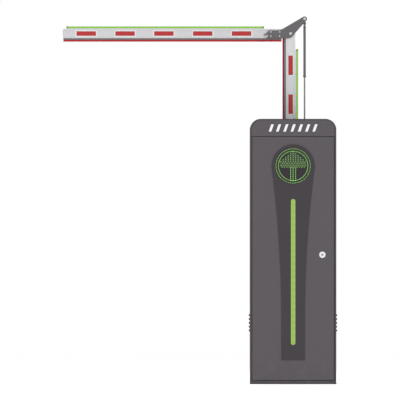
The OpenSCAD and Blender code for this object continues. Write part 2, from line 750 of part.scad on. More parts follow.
// Hollow profile with a light groove near each edge: X is the thickness, Y the width
groove_w = 1.6;
groove_d = 0.7;
module arm_profile() difference() {
    square([arm_t, arm_w], center = true);
    square([arm_t - 2 * arm_wall, arm_w - 2 * arm_wall], center = true);
    for (s = [-1, 1]) for (y = [arm_w / 2 - 7.5, 5 - arm_w / 2])
        translate([s * arm_t / 2, y]) square([2 * groove_d, groove_w], center = true);
}
// Profile laid along X with its width upright, and stood up along Z with its top to the right
module along_x(x0, x1) translate([x0, arm_mid, pivot_z]) rotate([90, 0, 90]) linear_extrude(x1 - x0)
    children();
module along_z(z0, z1) translate([shaft_x, arm_mid, z0]) rotate([0, 0, -90]) linear_extrude(z1 - z0)
    children();

module edge_section(y0, y1, t) translate([-t / 2, y0]) square([t, y1 - y0]);
carrier_y = -arm_w / 2 - carrier_h;
rubber_y = carrier_y - rubber_h;
strip_y = arm_w / 2 + strip_base_h;
lower_strip_y = arm_w / 2 + lower_base_h;

arm_foot_z = shaft_z - holder_drop + 3;
edge_foot_z = shaft_z + holder_rise + 6;

module lower_arm() color(arm_grey) difference() {
    intersection() {
        along_z(arm_foot_z, pivot_z + arm_w / 2) arm_profile();
        upright(arm_y - 1, arm_t + 2) {
            translate([shaft_x - arm_w / 2, arm_foot_z]) square([arm_w, pivot_z - arm_foot_z]);
            translate([shaft_x, pivot_z]) circle(arm_w / 2);
        }
    }
    bar_y(shaft_x, pivot_z, elbow_bolt_r + 0.6, arm_y - 1, arm_y + arm_t + 1);
}
module lower_edge_carrier() color(carrier_grey) along_z(edge_foot_z, pivot_z - 4)
    edge_section(carrier_y, -arm_w / 2, edge_t);
module lower_edge_rubber() color(signal_red) along_z(edge_foot_z, pivot_z - 4)
    edge_section(rubber_y, carrier_y, edge_t - 3);
module lower_light_strip() color(light_green) {
    along_z(strip_z0, strip_z1) edge_section(arm_w / 2, lower_strip_y, edge_t - 2);
    along_z(strip_z0, strip_z1) edge_section(lower_strip_y, lower_strip_y + strip_h, edge_t - 6);
}
// Red reflectors with a white border, on the front and the back face
sticker_t = 0.4;
film_t = 0.2;
module sticker(x0, x1, z0, z1) for (m = [0, 1]) translate([0, arm_mid, 0]) mirror([0, m, 0]) {
    block(x0, x1, arm_t / 2, arm_t / 2 + sticker_t, z0, z1);
    block(x0 - sticker_edge, x1 + sticker_edge, arm_t / 2, arm_t / 2 + film_t,
        z0 - sticker_edge, z1 + sticker_edge);
}
lower_sticker_zs = [for (i = [0:1]) pivot_z - 85 - i * sticker_pitch - sticker_len];
outer_sticker_xs = [for (i = [0:4]) shaft_x - 152 - i * sticker_pitch - sticker_len];
module lower_stickers() color(signal_red) for (z = lower_sticker_zs)
    sticker(shaft_x - sticker_w / 2, shaft_x + sticker_w / 2, z, z + sticker_len);

// Block inside the top of the lower arm that carries the elbow pivot
block_drop = 60;
module elbow_block() color(steel) difference() {
    upright(arm_y + arm_wall + seat_gap, arm_t - 2 * arm_wall - 2 * seat_gap) {
        translate([shaft_x - arm_w / 2 + arm_wall + seat_gap, pivot_z - block_drop])
            square([arm_w - 2 * arm_wall - 2 * seat_gap, block_drop]);
        translate([shaft_x, pivot_z]) circle(arm_w / 2 - arm_wall - seat_gap);
    }
    bar_y(shaft_x, pivot_z, elbow_bolt_r + run_gap, arm_y, arm_y + arm_t);
}

module outer_arm() color(arm_grey) difference() {
    along_x(outer_x0, outer_x1) arm_profile();
    for (x = bolt_xs) for (z = bolt_zs) bar_y(x, z, bolt_r, arm_y - 1, arm_y + arm_t + 1);
}
module outer_edge_carrier() color(carrier_grey) along_x(outer_x0, outer_x1)
    edge_section(carrier_y, -arm_w / 2, edge_t);
module outer_edge_rubber() color(signal_red) along_x(outer_x0, outer_x1)
    edge_section(rubber_y, carrier_y, edge_t - 3);
module outer_light_strip() color(light_green) {
    along_x(strip_x0, strip_x1) edge_section(arm_w / 2, strip_y, edge_t - 2);
    along_x(strip_x0, strip_x1) edge_section(strip_y, strip_y + strip_h, edge_t - 6);
}
module outer_stickers() color(signal_red) for (x = outer_sticker_xs)
    sticker(x, x + sticker_len, pivot_z - sticker_w / 2, pivot_z + sticker_w / 2);
module outer_end_cap() color(black) {
    translate([outer_x0 - 1.5, arm_mid, pivot_z]) cube([3, arm_t, arm_w], center = true);
    translate([outer_x0 + 5, arm_mid, pivot_z])
        cube([10, arm_t - 2 * arm_wall - 2 * seat_gap, arm_w - 2 * arm_wall - 2 * seat_gap], center = true);
}

// ---- elbow ----

// Crank plate: tongue along the outer arm, lobe round the pivot, tip at the crank pin, and two
// short spurs at the tongue's free end
tongue_drop = 3.4;
tongue_low = pivot_z - tongue_h / 2 - tongue_drop;
tongue_high = tongue_low + tongue_h;
tongue_corner = 5;
tongue_foot = 20;
heel_back = 42;
lobe_back = 8;
spur_len = 17;
spur_root = 4;
spur_drop = 17.8;
spur_end = 2.7;
spur_root_h = 7;
toe_len = 10.5;
toe_end = 0.6;
module crank_outline() {
    lobe = [shaft_x - lobe_back, pivot_z];
    tip = [pin_x, pin_z];
    heel = [shaft_x - heel_back, tongue_high];
    spur_z = tongue_high - tongue_corner - 1;
    translate([tongue_x + tongue_corner, tongue_low])
        square([lobe[0] - tongue_x - tongue_corner, tongue_h]);
    translate([tongue_x, tongue_low + tongue_corner]) square([tongue_corner, tongue_h - 2 * tongue_corner]);
    for (z = [tongue_low + tongue_corner, tongue_high - tongue_corner])
        translate([tongue_x + tongue_corner, z]) circle(tongue_corner);
    web(lobe, crank_lobe_r, tip, crank_tip_r);
    polygon([heel, tip + tangent_pt(heel, 0, tip, crank_tip_r, 1, crank_tip_r), tip, lobe,
        [shaft_x - tongue_foot, tongue_low], [heel[0], tongue_low]]);
    spur_x = tongue_x - spur_len;
    polygon([[tongue_x, spur_z], [tongue_x + spur_root, spur_z - spur_root_h],
        [spur_x, tongue_high - spur_drop - spur_end], [spur_x, tongue_high - spur_drop]]);
    polygon([[tongue_x + spur_root, tongue_low], [tongue_x - toe_len, tongue_low - toe_end],
        [tongue_x, tongue_low + tongue_corner]]);
}
module crank_plates() color(dark_grey) for (y = [crank_y0, crank_y1]) difference() {
    upright(y, crank_t) crank_outline();
    bar_y(shaft_x, pivot_z, elbow_bolt_r, y - 1, y + crank_t + 1);
    bar_y(pin_x, pin_z, link_pin_r, y - 1, y + crank_t + 1);
    for (x = bolt_xs) for (z = bolt_zs) bar_y(x, z, bolt_r, y - 1, y + crank_t + 1);
}
// Bolts through both plates and the outer arm, with a shim washer on each side
module elbow_bolts() color(steel) for (x = bolt_xs) for (z = bolt_zs) {
    bar_y(x, z, bolt_r, crank_y0, crank_y1 + crank_t + 2);
    for (y = [arm_y - shim, arm_y + arm_t]) bar_y(x, z, head_r, y, y + shim);
    bar_y(x, z, head_r, crank_y0 - head_h, crank_y0);
    hex_y(x, z, head_r + 0.6, crank_y1 + crank_t, crank_y1 + crank_t + 2.5);
}
module elbow_pivot_bolt() color(steel) {
    bar_y(shaft_x, pivot_z, elbow_bolt_r, crank_y0 - 1.5, crank_y1 + crank_t + 1.5);
    bar_y(shaft_x, pivot_z, elbow_bolt_r - 1.3, crank_y0 - 3, crank_y0 - 1.5);
    hex_y(shaft_x, pivot_z, elbow_bolt_r + 4, crank_y1 + crank_t, crank_y1 + crank_t + 7);
}
module crank_pin() color(steel) {
    bar_y(pin_x, pin_z, link_pin_r, crank_y0 - 1, crank_y1 + crank_t + 1);
    bar_y(pin_x, pin_z, link_pin_r + 1, crank_y0 - 3.5, crank_y0);
    bar_y(pin_x, pin_z, link_pin_r + 2.5, crank_y0 + crank_t, arm_mid - eye_t / 2 - seat_gap);
    bar_y(pin_x, pin_z, link_pin_r + 2.5, arm_mid + eye_t / 2 + seat_gap, crank_y1);
    hex_y(pin_x, pin_z, 7, crank_y1 + crank_t, crank_y1 + crank_t + 4);
}

// ---- link ----

tube_top = pin_z - 26;
tube_foot = pin_z - 220;
tube_plug = 8;
module link_tube() color(dark_steel) {
    difference() {
        bar_z(pin_x, arm_mid, link_tube_r, tube_foot, tube_top);
        bar_z(pin_x, arm_mid, link_rod_r, tube_foot - 1, tube_foot + tube_plug);
        bar_z(pin_x, arm_mid, link_rod_r, tube_top - tube_plug, tube_top + 1);
    }
    translate([pin_x, arm_mid, tube_foot - 6]) difference() {
        cylinder(h = 6, r = 6, $fn = 6);
        translate([0, 0, -1]) cylinder(h = 8, r = link_rod_r);
    }
}
module link_rod() color(steel) {
    bar_z(pin_x, arm_mid, link_rod_r, anchor_z + 22, tube_foot + tube_plug);
    bar_z(pin_x, arm_mid, link_rod_r, tube_top - tube_plug, pin_z - 18);
}
// Eye with a shank; side is -1 where the shank hangs down from the eye
module rod_eye(z, side, gap) {
    difference() {
        union() {
            bar_y(pin_x, z, eye_r, arm_mid - eye_t / 2, arm_mid + eye_t / 2);
            bar_z(pin_x, arm_mid, 4.6, min(z, z + side * 18), max(z, z + side * 18));
        }
        bar_y(pin_x, z, link_pin_r + gap, arm_mid - eye_t / 2 - 1, arm_mid + eye_t / 2 + 1);
    }
    translate([pin_x, arm_mid, side > 0 ? z + 18 : z - 22]) difference() {
        cylinder(h = 4, r = 6.5, $fn = 6);
        translate([0, 0, -1]) cylinder(h = 6, r = link_rod_r);
    }
}
module link_rod_ends() color(dark_steel) {
    rod_eye(pin_z, -1, open_gap);
    rod_eye(anchor_z, 1, run_gap);
}
module link_anchor() color(steel) {
    difference() {
        union() {
            block(pin_x - 16, pin_x + 28, y_rear, y_rear + 6, anchor_z - 27, anchor_z + 43);
            bar_y(pin_x, anchor_z, 12, y_rear, arm_mid - eye_t / 2 - 1);
            bar_y(pin_x, anchor_z, 6.5, y_rear, arm_mid - eye_t / 2 - seat_gap);
        }
        for (p = anchor_screws) bar_y(p[0], p[1], bolt_r, y_rear - 1, y_rear + 7);
    }
    bar_y(pin_x, anchor_z, link_pin_r, arm_mid - eye_t / 2 - 2, arm_mid + eye_t / 2 + 7);
    bar_y(pin_x, anchor_z, link_pin_r + 2.5, arm_mid + eye_t / 2 + seat_gap, arm_mid + eye_t / 2 + 1.5);
    hex_y(pin_x, anchor_z, 7, arm_mid + eye_t / 2 + 1.5, arm_mid + eye_t / 2 + 5.5);
}

// Screws of the rear panel and of the link anchor, with round heads
module cabinet_screws() color(steel) {
    for (p = panel_screws) {
        bar_y(p[0], p[1], bolt_r, y_rear - 3 * sheet_t, y_rear);
        bar_y(p[0], p[1], 4, y_rear, y_rear + 2);
    }
    for (p = anchor_screws) {
        bar_y(p[0], p[1], bolt_r, y_rear, y_rear + 6);
        bar_y(p[0], p[1], 4, y_rear + 6, y_rear + 8.5);
    }
}

// ---- drive linkage ----

wheel_r = 34;
wheel_t = 20;
module drive_crank() color(dark_steel) {
    difference() {
        union() {
            bar_y(shaft_x, output_z, output_r + 9, lever_y, lever_y + lever_t);
            upright(lever_y, lever_t) translate([shaft_x, output_z]) rotate(135) {
                translate([0, -lever_w / 2]) square([lever_r, lever_w]);
                translate([lever_r, 0]) circle(lever_w / 2);
            }
        }
        bar_y(shaft_x, output_z, output_r, lever_y - 1, lever_y + lever_t + 1);
    }
    bar_y(shaft_x, output_z, output_r, lever_y - 2, chassis_y1 - 2.5);
    bar_y(shaft_x, output_z, wheel_r, motor_y - wheel_t / 2, motor_y + wheel_t / 2);
    lever_pin(shaft_x - lever_dx, output_z + lever_dx);
}

rod_r = 5.4;
nut_r = 6.6;
// Eye of a drive rod in the plane behind the levers
module drive_eye(x, z, gap) difference() {
    children();
    bar_y(x, z, lever_pin_r + gap, rod_y - 1, rod_y + lever_t + 1);
}
module connecting_rod() color(steel) {
    x = shaft_x - lever_dx;
    z0 = output_z + lever_dx;
    z1 = shaft_z + lever_dx;
    drive_eye(x, z0, run_gap) drive_eye(x, z1, open_gap) union() {
        bar_y(x, z0, 12, rod_y, rod_y + lever_t);
        bar_y(x, z1, 12, rod_y, rod_y + lever_t);
        bar_z(x, rod_mid, rod_r, z0 + 4, z1 - 4);
        for (z = [z0 + 20, z1 - 28]) translate([x, rod_mid, z]) cylinder(h = 8, r = nut_r, $fn = 6);
    }
}
module spring_rod() color(steel) {
    z1 = shaft_z - lever_dx;
    drive_eye(spring_x, z1, run_gap) union() {
        bar_y(spring_x, z1, 12, rod_y, rod_y + lever_t);
        bar_z(spring_x, rod_mid, rod_r, spring_z0 - 20, z1 - 4);
        bar_z(spring_x, rod_mid, 27, spring_z0 - cup_t, spring_z0);
        translate([spring_x, rod_mid, spring_z0 - cup_t - 8]) cylinder(h = 8, r = 10, $fn = 6);
        translate([spring_x, rod_mid, z1 - 28]) cylinder(h = 8, r = nut_r, $fn = 6);
    }
}

// Helix as a tube of rings, with a closed turn at each end
spring_sides = 8;
spring_steps = 20;
closed_pitch = 2.12 * spring_wire_r;
open_pitch = (spring_len - seat_gap - 2 * spring_wire_r - 2 * closed_pitch) / (spring_turns - 2);
function coil_z(t) = spring_z0 + spring_wire_r
    + closed_pitch * (min(t, 1) + max(t - spring_turns + 1, 0))
    + open_pitch * min(max(t - 1, 0), spring_turns - 2);
module balance_spring() color(black) {
    n = spring_turns * spring_steps;
    points = [for (i = [0:n]) for (k = [0:spring_sides - 1])
        let (a = 360 * i / spring_steps, b = 360 * k / spring_sides,
            r = spring_r + spring_wire_r * cos(b))
        [spring_x + r * cos(a), rod_mid + r * sin(a),
            coil_z(i / spring_steps) + spring_wire_r * sin(b)]];
    sides = [for (i = [0:n - 1]) for (k = [0:spring_sides - 1])
        let (k2 = (k + 1) % spring_sides, a = i * spring_sides)
        [a + k, a + k2, a + spring_sides + k2, a + spring_sides + k]];
    polyhedron(points, concat([[for (k = [spring_sides - 1:-1:0]) k]], sides,
        [[for (k = [0:spring_sides - 1]) n * spring_sides + k]]));
}

// ---- door ----

// Narrow foot, two flared flanks that run into the round head, and the head
flank_step = 2;
module inlay_outline() {
    tangent_z = display_z - inlay_r * flare_h / (flare_r + inlay_r);
    difference() {
        translate([-inlay_r, inlay_z]) square([2 * inlay_r, tangent_z - flank_step - inlay_z]);
        for (s = [-1, 1]) {
            translate([s * (inlay_waist / 2 + flare_r), inlay_flare_z]) circle(flare_r, $fn = flare_fn);
            translate([s * inlay_r - inlay_r + s * inlay_waist / 2, inlay_z - 1])
                square([2 * inlay_r, inlay_flare_z - inlay_z + 1]);
        }
    }
    translate([0, display_z]) circle(inlay_r);
}
module light_slot(extra) pill(0, light_z - extra, light_z + light_len + extra, light_w + 2 * extra);
module hinge_boss(z) block(hinge_x - 4, hinge_x + 6, door_y, hinge_y + 5, z, z + 12);

module door_panel() color(dark_grey) difference() {
    union() {
        difference() {
            block(-door_w / 2, door_w / 2, y_front, y_front + door_depth, door_z0, door_z1);
            block(sheet_t - door_w / 2, door_w / 2 - sheet_t, door_y, y_front + door_depth + 1,
                door_z0 + sheet_t, door_z1 - sheet_t);
        }
        hinge_boss(door_z0);
        hinge_boss(door_z1 - 12);
    }
    for (z = [door_z0, door_z1]) bar_z(hinge_x, hinge_y, hinge_pin_r + run_gap, z - 13, z + 13);
    upright(y_front - 1, sheet_t + 2) {
        translate([0, display_z]) circle(display_r + seat_gap);
        light_slot(seat_gap);
        translate([lock_x, lock_z]) circle(9);
    }
}
module inlay_panel() color(inlay_grey) upright(y_front - inlay_t, inlay_t) difference() {
    inlay_outline();
    translate([0, display_z]) circle(display_r + seat_gap);
    light_slot(seat_gap);
}
module light_bar() color(light_green) {
    upright(y_front - inlay_t - 1, inlay_t + 1 + sheet_t) light_slot(0);
    upright(door_y, sheet_t) light_slot(4);
}
module display_lens() color(inlay_grey) {
    upright(y_front - inlay_t - 0.5, inlay_t + 0.5 + sheet_t) translate([0, display_z]) circle(display_r);
    upright(door_y, sheet_t) translate([0, display_z]) circle(display_r + 4);
}

lock_y = y_front - 3;
barrel_end = y_front + 16;
module lock_body() color(white) difference() {
    union() {
        bar_y(lock_x, lock_z, lock_rim_r, lock_y, y_front);
        bar_y(lock_x, lock_z, 9, y_front, barrel_end);
        hex_y(lock_x, lock_z, 14, door_y, door_y + 4);
    }
    bar_y(lock_x, lock_z, lock_core_r + run_gap, lock_y - 1, barrel_end + 1);
}
cam_y = frame_y + sheet_t + 2;
cam_w = 14;
cam_t = 3;
module lock_cylinder() color(steel) {
    difference() {
        bar_y(lock_x, lock_z, lock_core_r, lock_y + 0.6, cam_y + cam_t + 3);
        block(lock_x - 0.6, lock_x + 0.6, lock_y - 1, lock_y + 3, lock_z - 3, lock_z + 3);
    }
    bar_y(lock_x, lock_z, lock_core_r + 3, barrel_end + seat_gap, barrel_end + 3);
    upright(cam_y, cam_t) {
        translate([lock_x, lock_z]) circle(9);
        translate([lock_x - cam_w / 2, lock_z - cam_reach]) square([cam_w, cam_reach]);
    }
    hex_y(lock_x, lock_z, 7, cam_y + cam_t, cam_y + cam_t + 3);
}

base_plate();
cabinet_shell();
rear_panel();
top_fascia();
fascia_emblem();
front_frame();
door_seal();
hinge_pins();
chassis_plate_front();
chassis_plate_rear();
chassis_posts();
shaft_bearings();
shaft_seal_cover();
gearbox_housing();
gearbox_cover();
motor_housing();
worm_shaft();
stop_buffers();
spring_shelf();
limit_sensors();
electronics_plate();
controller_box();
power_supply();
terminal_block();
link_anchor();
cabinet_screws();
main_shaft();
shaft_lever();
arm_holder();
arm_clamp_plate();
arm_clamp_bolts();
lower_arm();
lower_edge_carrier();
lower_edge_rubber();
lower_light_strip();
lower_stickers();
elbow_block();
outer_arm();
outer_edge_carrier();
outer_edge_rubber();
outer_light_strip();
outer_stickers();
outer_end_cap();
crank_plates();
elbow_bolts();
elbow_pivot_bolt();
crank_pin();
link_tube();
link_rod();
link_rod_ends();
drive_crank();
connecting_rod();
spring_rod();
balance_spring();
door_panel();
inlay_panel();
light_bar();
display_lens();
lock_body();
lock_cylinder();
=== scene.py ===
"""Finishes, fine detail, lights and camera for a folding-arm parking barrier."""
import json
import math

import bmesh
import bpy
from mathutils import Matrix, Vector

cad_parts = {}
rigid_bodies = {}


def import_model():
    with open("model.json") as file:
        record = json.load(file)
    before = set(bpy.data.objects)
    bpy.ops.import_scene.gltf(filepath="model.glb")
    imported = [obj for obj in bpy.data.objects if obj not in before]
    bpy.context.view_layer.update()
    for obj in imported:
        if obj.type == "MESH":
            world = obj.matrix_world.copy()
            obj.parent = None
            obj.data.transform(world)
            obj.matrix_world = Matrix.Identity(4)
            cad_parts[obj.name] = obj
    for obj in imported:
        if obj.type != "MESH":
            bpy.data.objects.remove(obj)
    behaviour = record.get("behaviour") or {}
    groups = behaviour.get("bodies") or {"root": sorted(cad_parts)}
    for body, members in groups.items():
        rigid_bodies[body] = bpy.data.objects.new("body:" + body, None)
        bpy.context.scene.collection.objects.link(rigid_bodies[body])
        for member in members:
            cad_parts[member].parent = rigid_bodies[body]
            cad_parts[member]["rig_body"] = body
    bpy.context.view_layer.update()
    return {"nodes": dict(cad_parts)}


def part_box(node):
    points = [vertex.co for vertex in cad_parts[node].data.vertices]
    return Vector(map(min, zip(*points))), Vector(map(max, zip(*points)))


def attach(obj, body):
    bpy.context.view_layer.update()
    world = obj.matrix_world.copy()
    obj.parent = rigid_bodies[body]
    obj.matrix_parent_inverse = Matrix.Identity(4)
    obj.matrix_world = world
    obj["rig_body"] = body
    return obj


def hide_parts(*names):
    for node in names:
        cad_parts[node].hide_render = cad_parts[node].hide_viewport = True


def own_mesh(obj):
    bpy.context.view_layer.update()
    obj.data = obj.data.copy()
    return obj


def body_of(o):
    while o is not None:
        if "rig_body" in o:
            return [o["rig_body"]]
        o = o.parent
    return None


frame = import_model()
NODES = frame["nodes"]
MM = 0.001
MERGE = 1e-6
SHARP = 38  # degrees between two faces past which an edge is rounded
FACE_FRONT = (math.pi / 2, 0, 0)
FACE_BACK = (-math.pi / 2, 0, 0)


# ---- node graphs ----

class Flow:
    """An output of a node that takes Python's operators, each of which adds one Math node."""

    def __init__(self, graph, socket):
        self.graph, self.socket = graph, socket

    def of(self, name):
        return Flow(self.graph, self.socket.node.outputs[name])

    def math(self, operation, *values):
        return self.graph.node("ShaderNodeMath", {"operation": operation}, dict(enumerate(values)))

    def __add__(self, other):
        return self.math("ADD", self, other)

    def __sub__(self, other):
        return self.math("SUBTRACT", self, other)

    def __rsub__(self, other):
        return self.math("SUBTRACT", other, self)

    def __mul__(self, other):
        return self.math("MULTIPLY", self, other)

    def __truediv__(self, other):
        return self.math("DIVIDE", self, other)

    def __rtruediv__(self, other):
        return self.math("DIVIDE", other, self)

    def __mod__(self, other):
        return self.math("FLOORED_MODULO", self, other)

    def __lt__(self, other):
        return self.math("LESS_THAN", self, other)

    def __gt__(self, other):
        return self.math("GREATER_THAN", self, other)

    def __and__(self, other):
        return self.math("MINIMUM", self, other)

    def __or__(self, other):
        return self.math("MAXIMUM", self, other)

    def __abs__(self):
        return self.math("ABSOLUTE", self)

    def sin(self):
        return self.math("SINE", self)

    def cos(self):
        return self.math("COSINE", self)

    def clamp(self, low, high):
        return (self | low) & high

    def ease(self, low, high):
        """0 below low, 1 above high, and a smooth rise between them."""
        span = {"Value": self, "From Min": low, "From Max": high}
        return self.graph.node("ShaderNodeMapRange", {"interpolation_type": "SMOOTHSTEP"}, span)

    __radd__ = __add__
    __rmul__ = __mul__


class Graph:
    """A node tree in which every node but the Math nodes comes from node()."""

    def __init__(self, tree):
        self.tree = tree

    def node(self, kind, settings=None, values=None, out=0):
        made = self.tree.nodes.new(kind)
        for key, value in (settings or {}).items():
            if key == "stops":
                self.fill_ramp(made.color_ramp, value)
            else:
                setattr(made, key, value)
        for key, value in (values or {}).items():
            if isinstance(value, Flow):
                self.tree.links.new(value.socket, made.inputs[key])
            else:
                made.inputs[key].default_value = value
        return Flow(self, made.outputs[out]) if made.outputs else made

    @staticmethod
    def fill_ramp(ramp, stops):
        for _ in stops[2:]:
            ramp.elements.new(1.0)
        for element, (position, colour) in zip(ramp.elements, stops):
            element.position = position
            element.color = colour

    def vector(self, x, y, z):
        return self.node("ShaderNodeCombineXYZ", values={0: x, 1: y, 2: z})

    def axes(self, place):
        parts = self.node("ShaderNodeSeparateXYZ", values={0: place})
        return parts, parts.of("Y"), parts.of("Z")


# ---- finishes ----

def shade(red, green, blue):
    """Linear colour of a paint given as the three display values from 0 to 255."""
    def linear(value):
        value /= 255
        return value / 12.92 if value <= 0.04045 else ((value + 0.055) / 1.055) ** 2.4
    return (linear(red), linear(green), linear(blue), 1)


def toned(tone, step):
    """Linear colour of a tone from 0 to 255, lightened by a step or darkened by a negative one."""
    return shade(*[min(255, max(0, part + step)) for part in tone])


class Finish(Graph):
    """A material laid out in the object's own coordinates."""

    def __init__(self, name):
        self.material = bpy.data.materials.new(name)
        self.material.use_nodes = True
        super().__init__(self.material.node_tree)
        self.tree.nodes.clear()
        self.place = self.node("ShaderNodeTexCoord", out="Object")
        self.x, self.y, self.z = self.axes(self.place)

    def spread(self, stretch):
        return self.node("ShaderNodeMapping", values={"Vector": self.place, "Scale": stretch})

    def noise(self, scale, detail=2, stretch=(1, 1, 1)):
        place = self.place if stretch == (1, 1, 1) else self.spread(stretch)
        return self.node("ShaderNodeTexNoise", values={"Vector": place, "Scale": scale, "Detail": detail})

    def cells(self, scale, out="Distance"):
        return self.node("ShaderNodeTexVoronoi", values={"Vector": self.place, "Scale": scale}, out=out)

    def mix(self, share, first, second):
        return self.node("ShaderNodeMix", {"data_type": "RGBA"}, {0: share, 6: first, 7: second}, out=2)

    def bump(self, height, depth):
        """Normal bent by a height from 0 to 1 that stands depth metres high."""
        return self.node("ShaderNodeBump", values={"Strength": 1, "Distance": depth, "Height": height})

    def edge(self):
        """1 on the rounded edges and 0 elsewhere."""
        return self.node("ShaderNodeAttribute", {"attribute_name": "edge"}, out="Fac")

    def wear(self, grain):
        """Share of rubbed paint: broken patches along the rounded edges."""
        return self.edge() * grain.ease(0.5, 0.66)

    def done(self, **sockets):
        """Closes the material with one Principled shader; sockets are named as on it."""
        values = {key.replace("_", " "): value for key, value in sockets.items()}
        surface = self.node("ShaderNodeBsdfPrincipled", values=values)
        self.node("ShaderNodeOutputMaterial", values={"Surface": surface})
        return self.material


def powder_coat(name, paint, gloss=0.5, dusty=True):
    """Baked powder paint: a slow drift of colour, an orange-peel skin and rubbed edges."""
    coat = Finish(name)
    drift = coat.noise(2.6)
    grain = coat.noise(420)
    peel = coat.noise(850, detail=1)
    light = [min(1, part * 1.09) for part in paint[:3]] + [1]
    dark = [part * 0.9 for part in paint[:3]] + [1]
    colour = coat.mix((drift + grain) * 0.5, dark, light)
    if dusty:
        dust = (1 - coat.z / 0.16).clamp(0, 1) * coat.noise(36, detail=5).ease(0.4, 0.75)
        colour = coat.mix(dust * 0.07, colour, shade(150, 142, 130))
    rubbed = coat.wear(coat.noise(240, detail=4))
    colour = coat.mix(rubbed * 0.35, colour, shade(165, 165, 168))
    rough = gloss + drift * 0.06 + grain * 0.05 - rubbed * 0.12
    return coat.done(Base_Color=colour, Roughness=rough, Normal=coat.bump(peel, 0.00006))


def zinc_plate(name, warm=0.0, spangle=False):
    """Zinc on steel: cloudy grey, or the broad crystals of a galvanised sheet."""
    coat = Finish(name)
    cloud = coat.noise(22, detail=4)
    crystal = coat.cells(70, out="Color")
    patch = coat.axes(crystal)[0] if spangle else coat.noise(160)
    colour = coat.mix((cloud + patch) * 0.5, shade(138 + 14 * warm, 140, 144 - 20 * warm),
                      shade(196 + 10 * warm, 197, 200 - 26 * warm))
    streak = coat.noise(90, stretch=(1, 1, 14))
    rough = 0.3 + patch * 0.14 + streak * 0.1
    return coat.done(Base_Color=colour, Roughness=rough, Metallic=0.85, Normal=coat.bump(streak, 0.00002))


def turned_steel(name, tone=168, rough=0.3):
    """Machined steel with fine tool marks and a faint oil film."""
    metal = Finish(name)
    marks = metal.noise(1100, detail=1, stretch=(0.2, 1, 0.2))
    film = metal.noise(60, detail=3)
    colour = metal.mix(film, shade(tone - 20, tone - 20, tone - 18), shade(tone + 18, tone + 18, tone + 20))
    return metal.done(Base_Color=colour, Metallic=0.95, Roughness=rough + marks * 0.12 + film * 0.08,
                      Normal=metal.bump(marks, 0.00002))


def sand_cast(name, tone=(128, 132, 136)):
    """Sand-cast metal: pitted skin with darker hollows."""
    metal = Finish(name)
    skin = metal.noise(380, detail=5)
    pits = metal.cells(520).ease(0.0, 0.35)
    cloud = metal.noise(14, detail=3)
    colour = metal.mix(skin * 0.6 + cloud * 0.4, toned(tone, -34), toned(tone, 22))
    rubbed = metal.wear(skin)
    colour = metal.mix(rubbed * 0.5, colour, shade(190, 192, 195))
    return metal.done(Base_Color=colour, Metallic=0.55, Roughness=0.62 - rubbed * 0.25,
                      Normal=metal.bump(skin * 0.7 + pits * 0.3, 0.0003))


def drawn_aluminium(name, tone, along, rough=0.4):
    """Anodised profile with fine die lines along its length."""
    metal = Finish(name)
    stretch = {"x": (0.02, 1, 1), "z": (1, 1, 0.02)}[along]
    lines = metal.noise(900, stretch=stretch)
    broad = metal.noise(70, stretch=stretch)
    cloud = metal.noise(5)
    share = lines * 0.35 + broad * 0.35 + cloud * 0.3
    colour = metal.mix(share, toned(tone, -7), toned(tone, 7))
    rubbed = metal.wear(metal.noise(300, detail=3))
    colour = metal.mix(rubbed * 0.2, colour, shade(235, 236, 238))
    return metal.done(Base_Color=colour, Metallic=0.04, Roughness=rough + lines * 0.12 + cloud * 0.05,
                      Normal=metal.bump(lines, 0.00003))


def moulded(name, tone, rough=0.5, grain=600, depth=0.00008):
    """Injection-moulded plastic with a spark-eroded grain."""
    skin = Finish(name)
    texture = skin.noise(grain)
    cloud = skin.noise(9)
    colour = skin.mix(cloud * 0.5 + texture * 0.5, toned(tone, -6), toned(tone, 6))
    rubbed = skin.wear(skin.noise(320, detail=3))
    colour = skin.mix(rubbed * 0.2, colour, shade(150, 150, 152))
    return skin.done(Base_Color=colour, Roughness=rough + texture * 0.12, Normal=skin.bump(texture, depth))


def rubber(name, tone):
    """Soft rubber with a dull bloom and a faint mould skin."""
    skin = Finish(name)
    fine = skin.noise(700, detail=3)
    patch = skin.noise(34, detail=4).ease(0.35, 0.8)
    colour = skin.mix(fine, toned(tone, -9), toned(tone, 7))
    colour = skin.mix(patch * 0.06, colour, shade(150, 150, 150))
    return skin.done(Base_Color=colour, Roughness=0.66 + patch * 0.14, Specular_IOR_Level=0.35,
                     Normal=skin.bump(fine, 0.00009))


def reflector_film(name, tone, cell=3.2 * MM):
    """Prismatic reflector: welded honeycomb cells over tiny prisms, on faces square to Y."""
    film = Finish(name)
    step_x, step_z = cell, cell * math.sqrt(3)

    def rim(dx, dz):
        u = abs((film.x + dx) % step_x - step_x / 2)
        v = abs((film.z + dz) % step_z - step_z / 2)
        return u | (u * 0.5 + v * (math.sqrt(3) / 2))
    reach = rim(0, 0) & rim(step_x / 2, step_z / 2)
    weld = reach.ease(cell * 0.42, cell * 0.47)
    prism = film.cells(1400)
    colour = film.mix(weld * 0.5 + prism * 0.25, shade(*tone), toned(tone, 46))
    return film.done(Base_Color=colour, Roughness=0.26 + weld * 0.3, Coat_Weight=0.5 - weld * 0.3,
                     Coat_Roughness=0.12, Normal=film.bump(1 - weld, 0.00008))


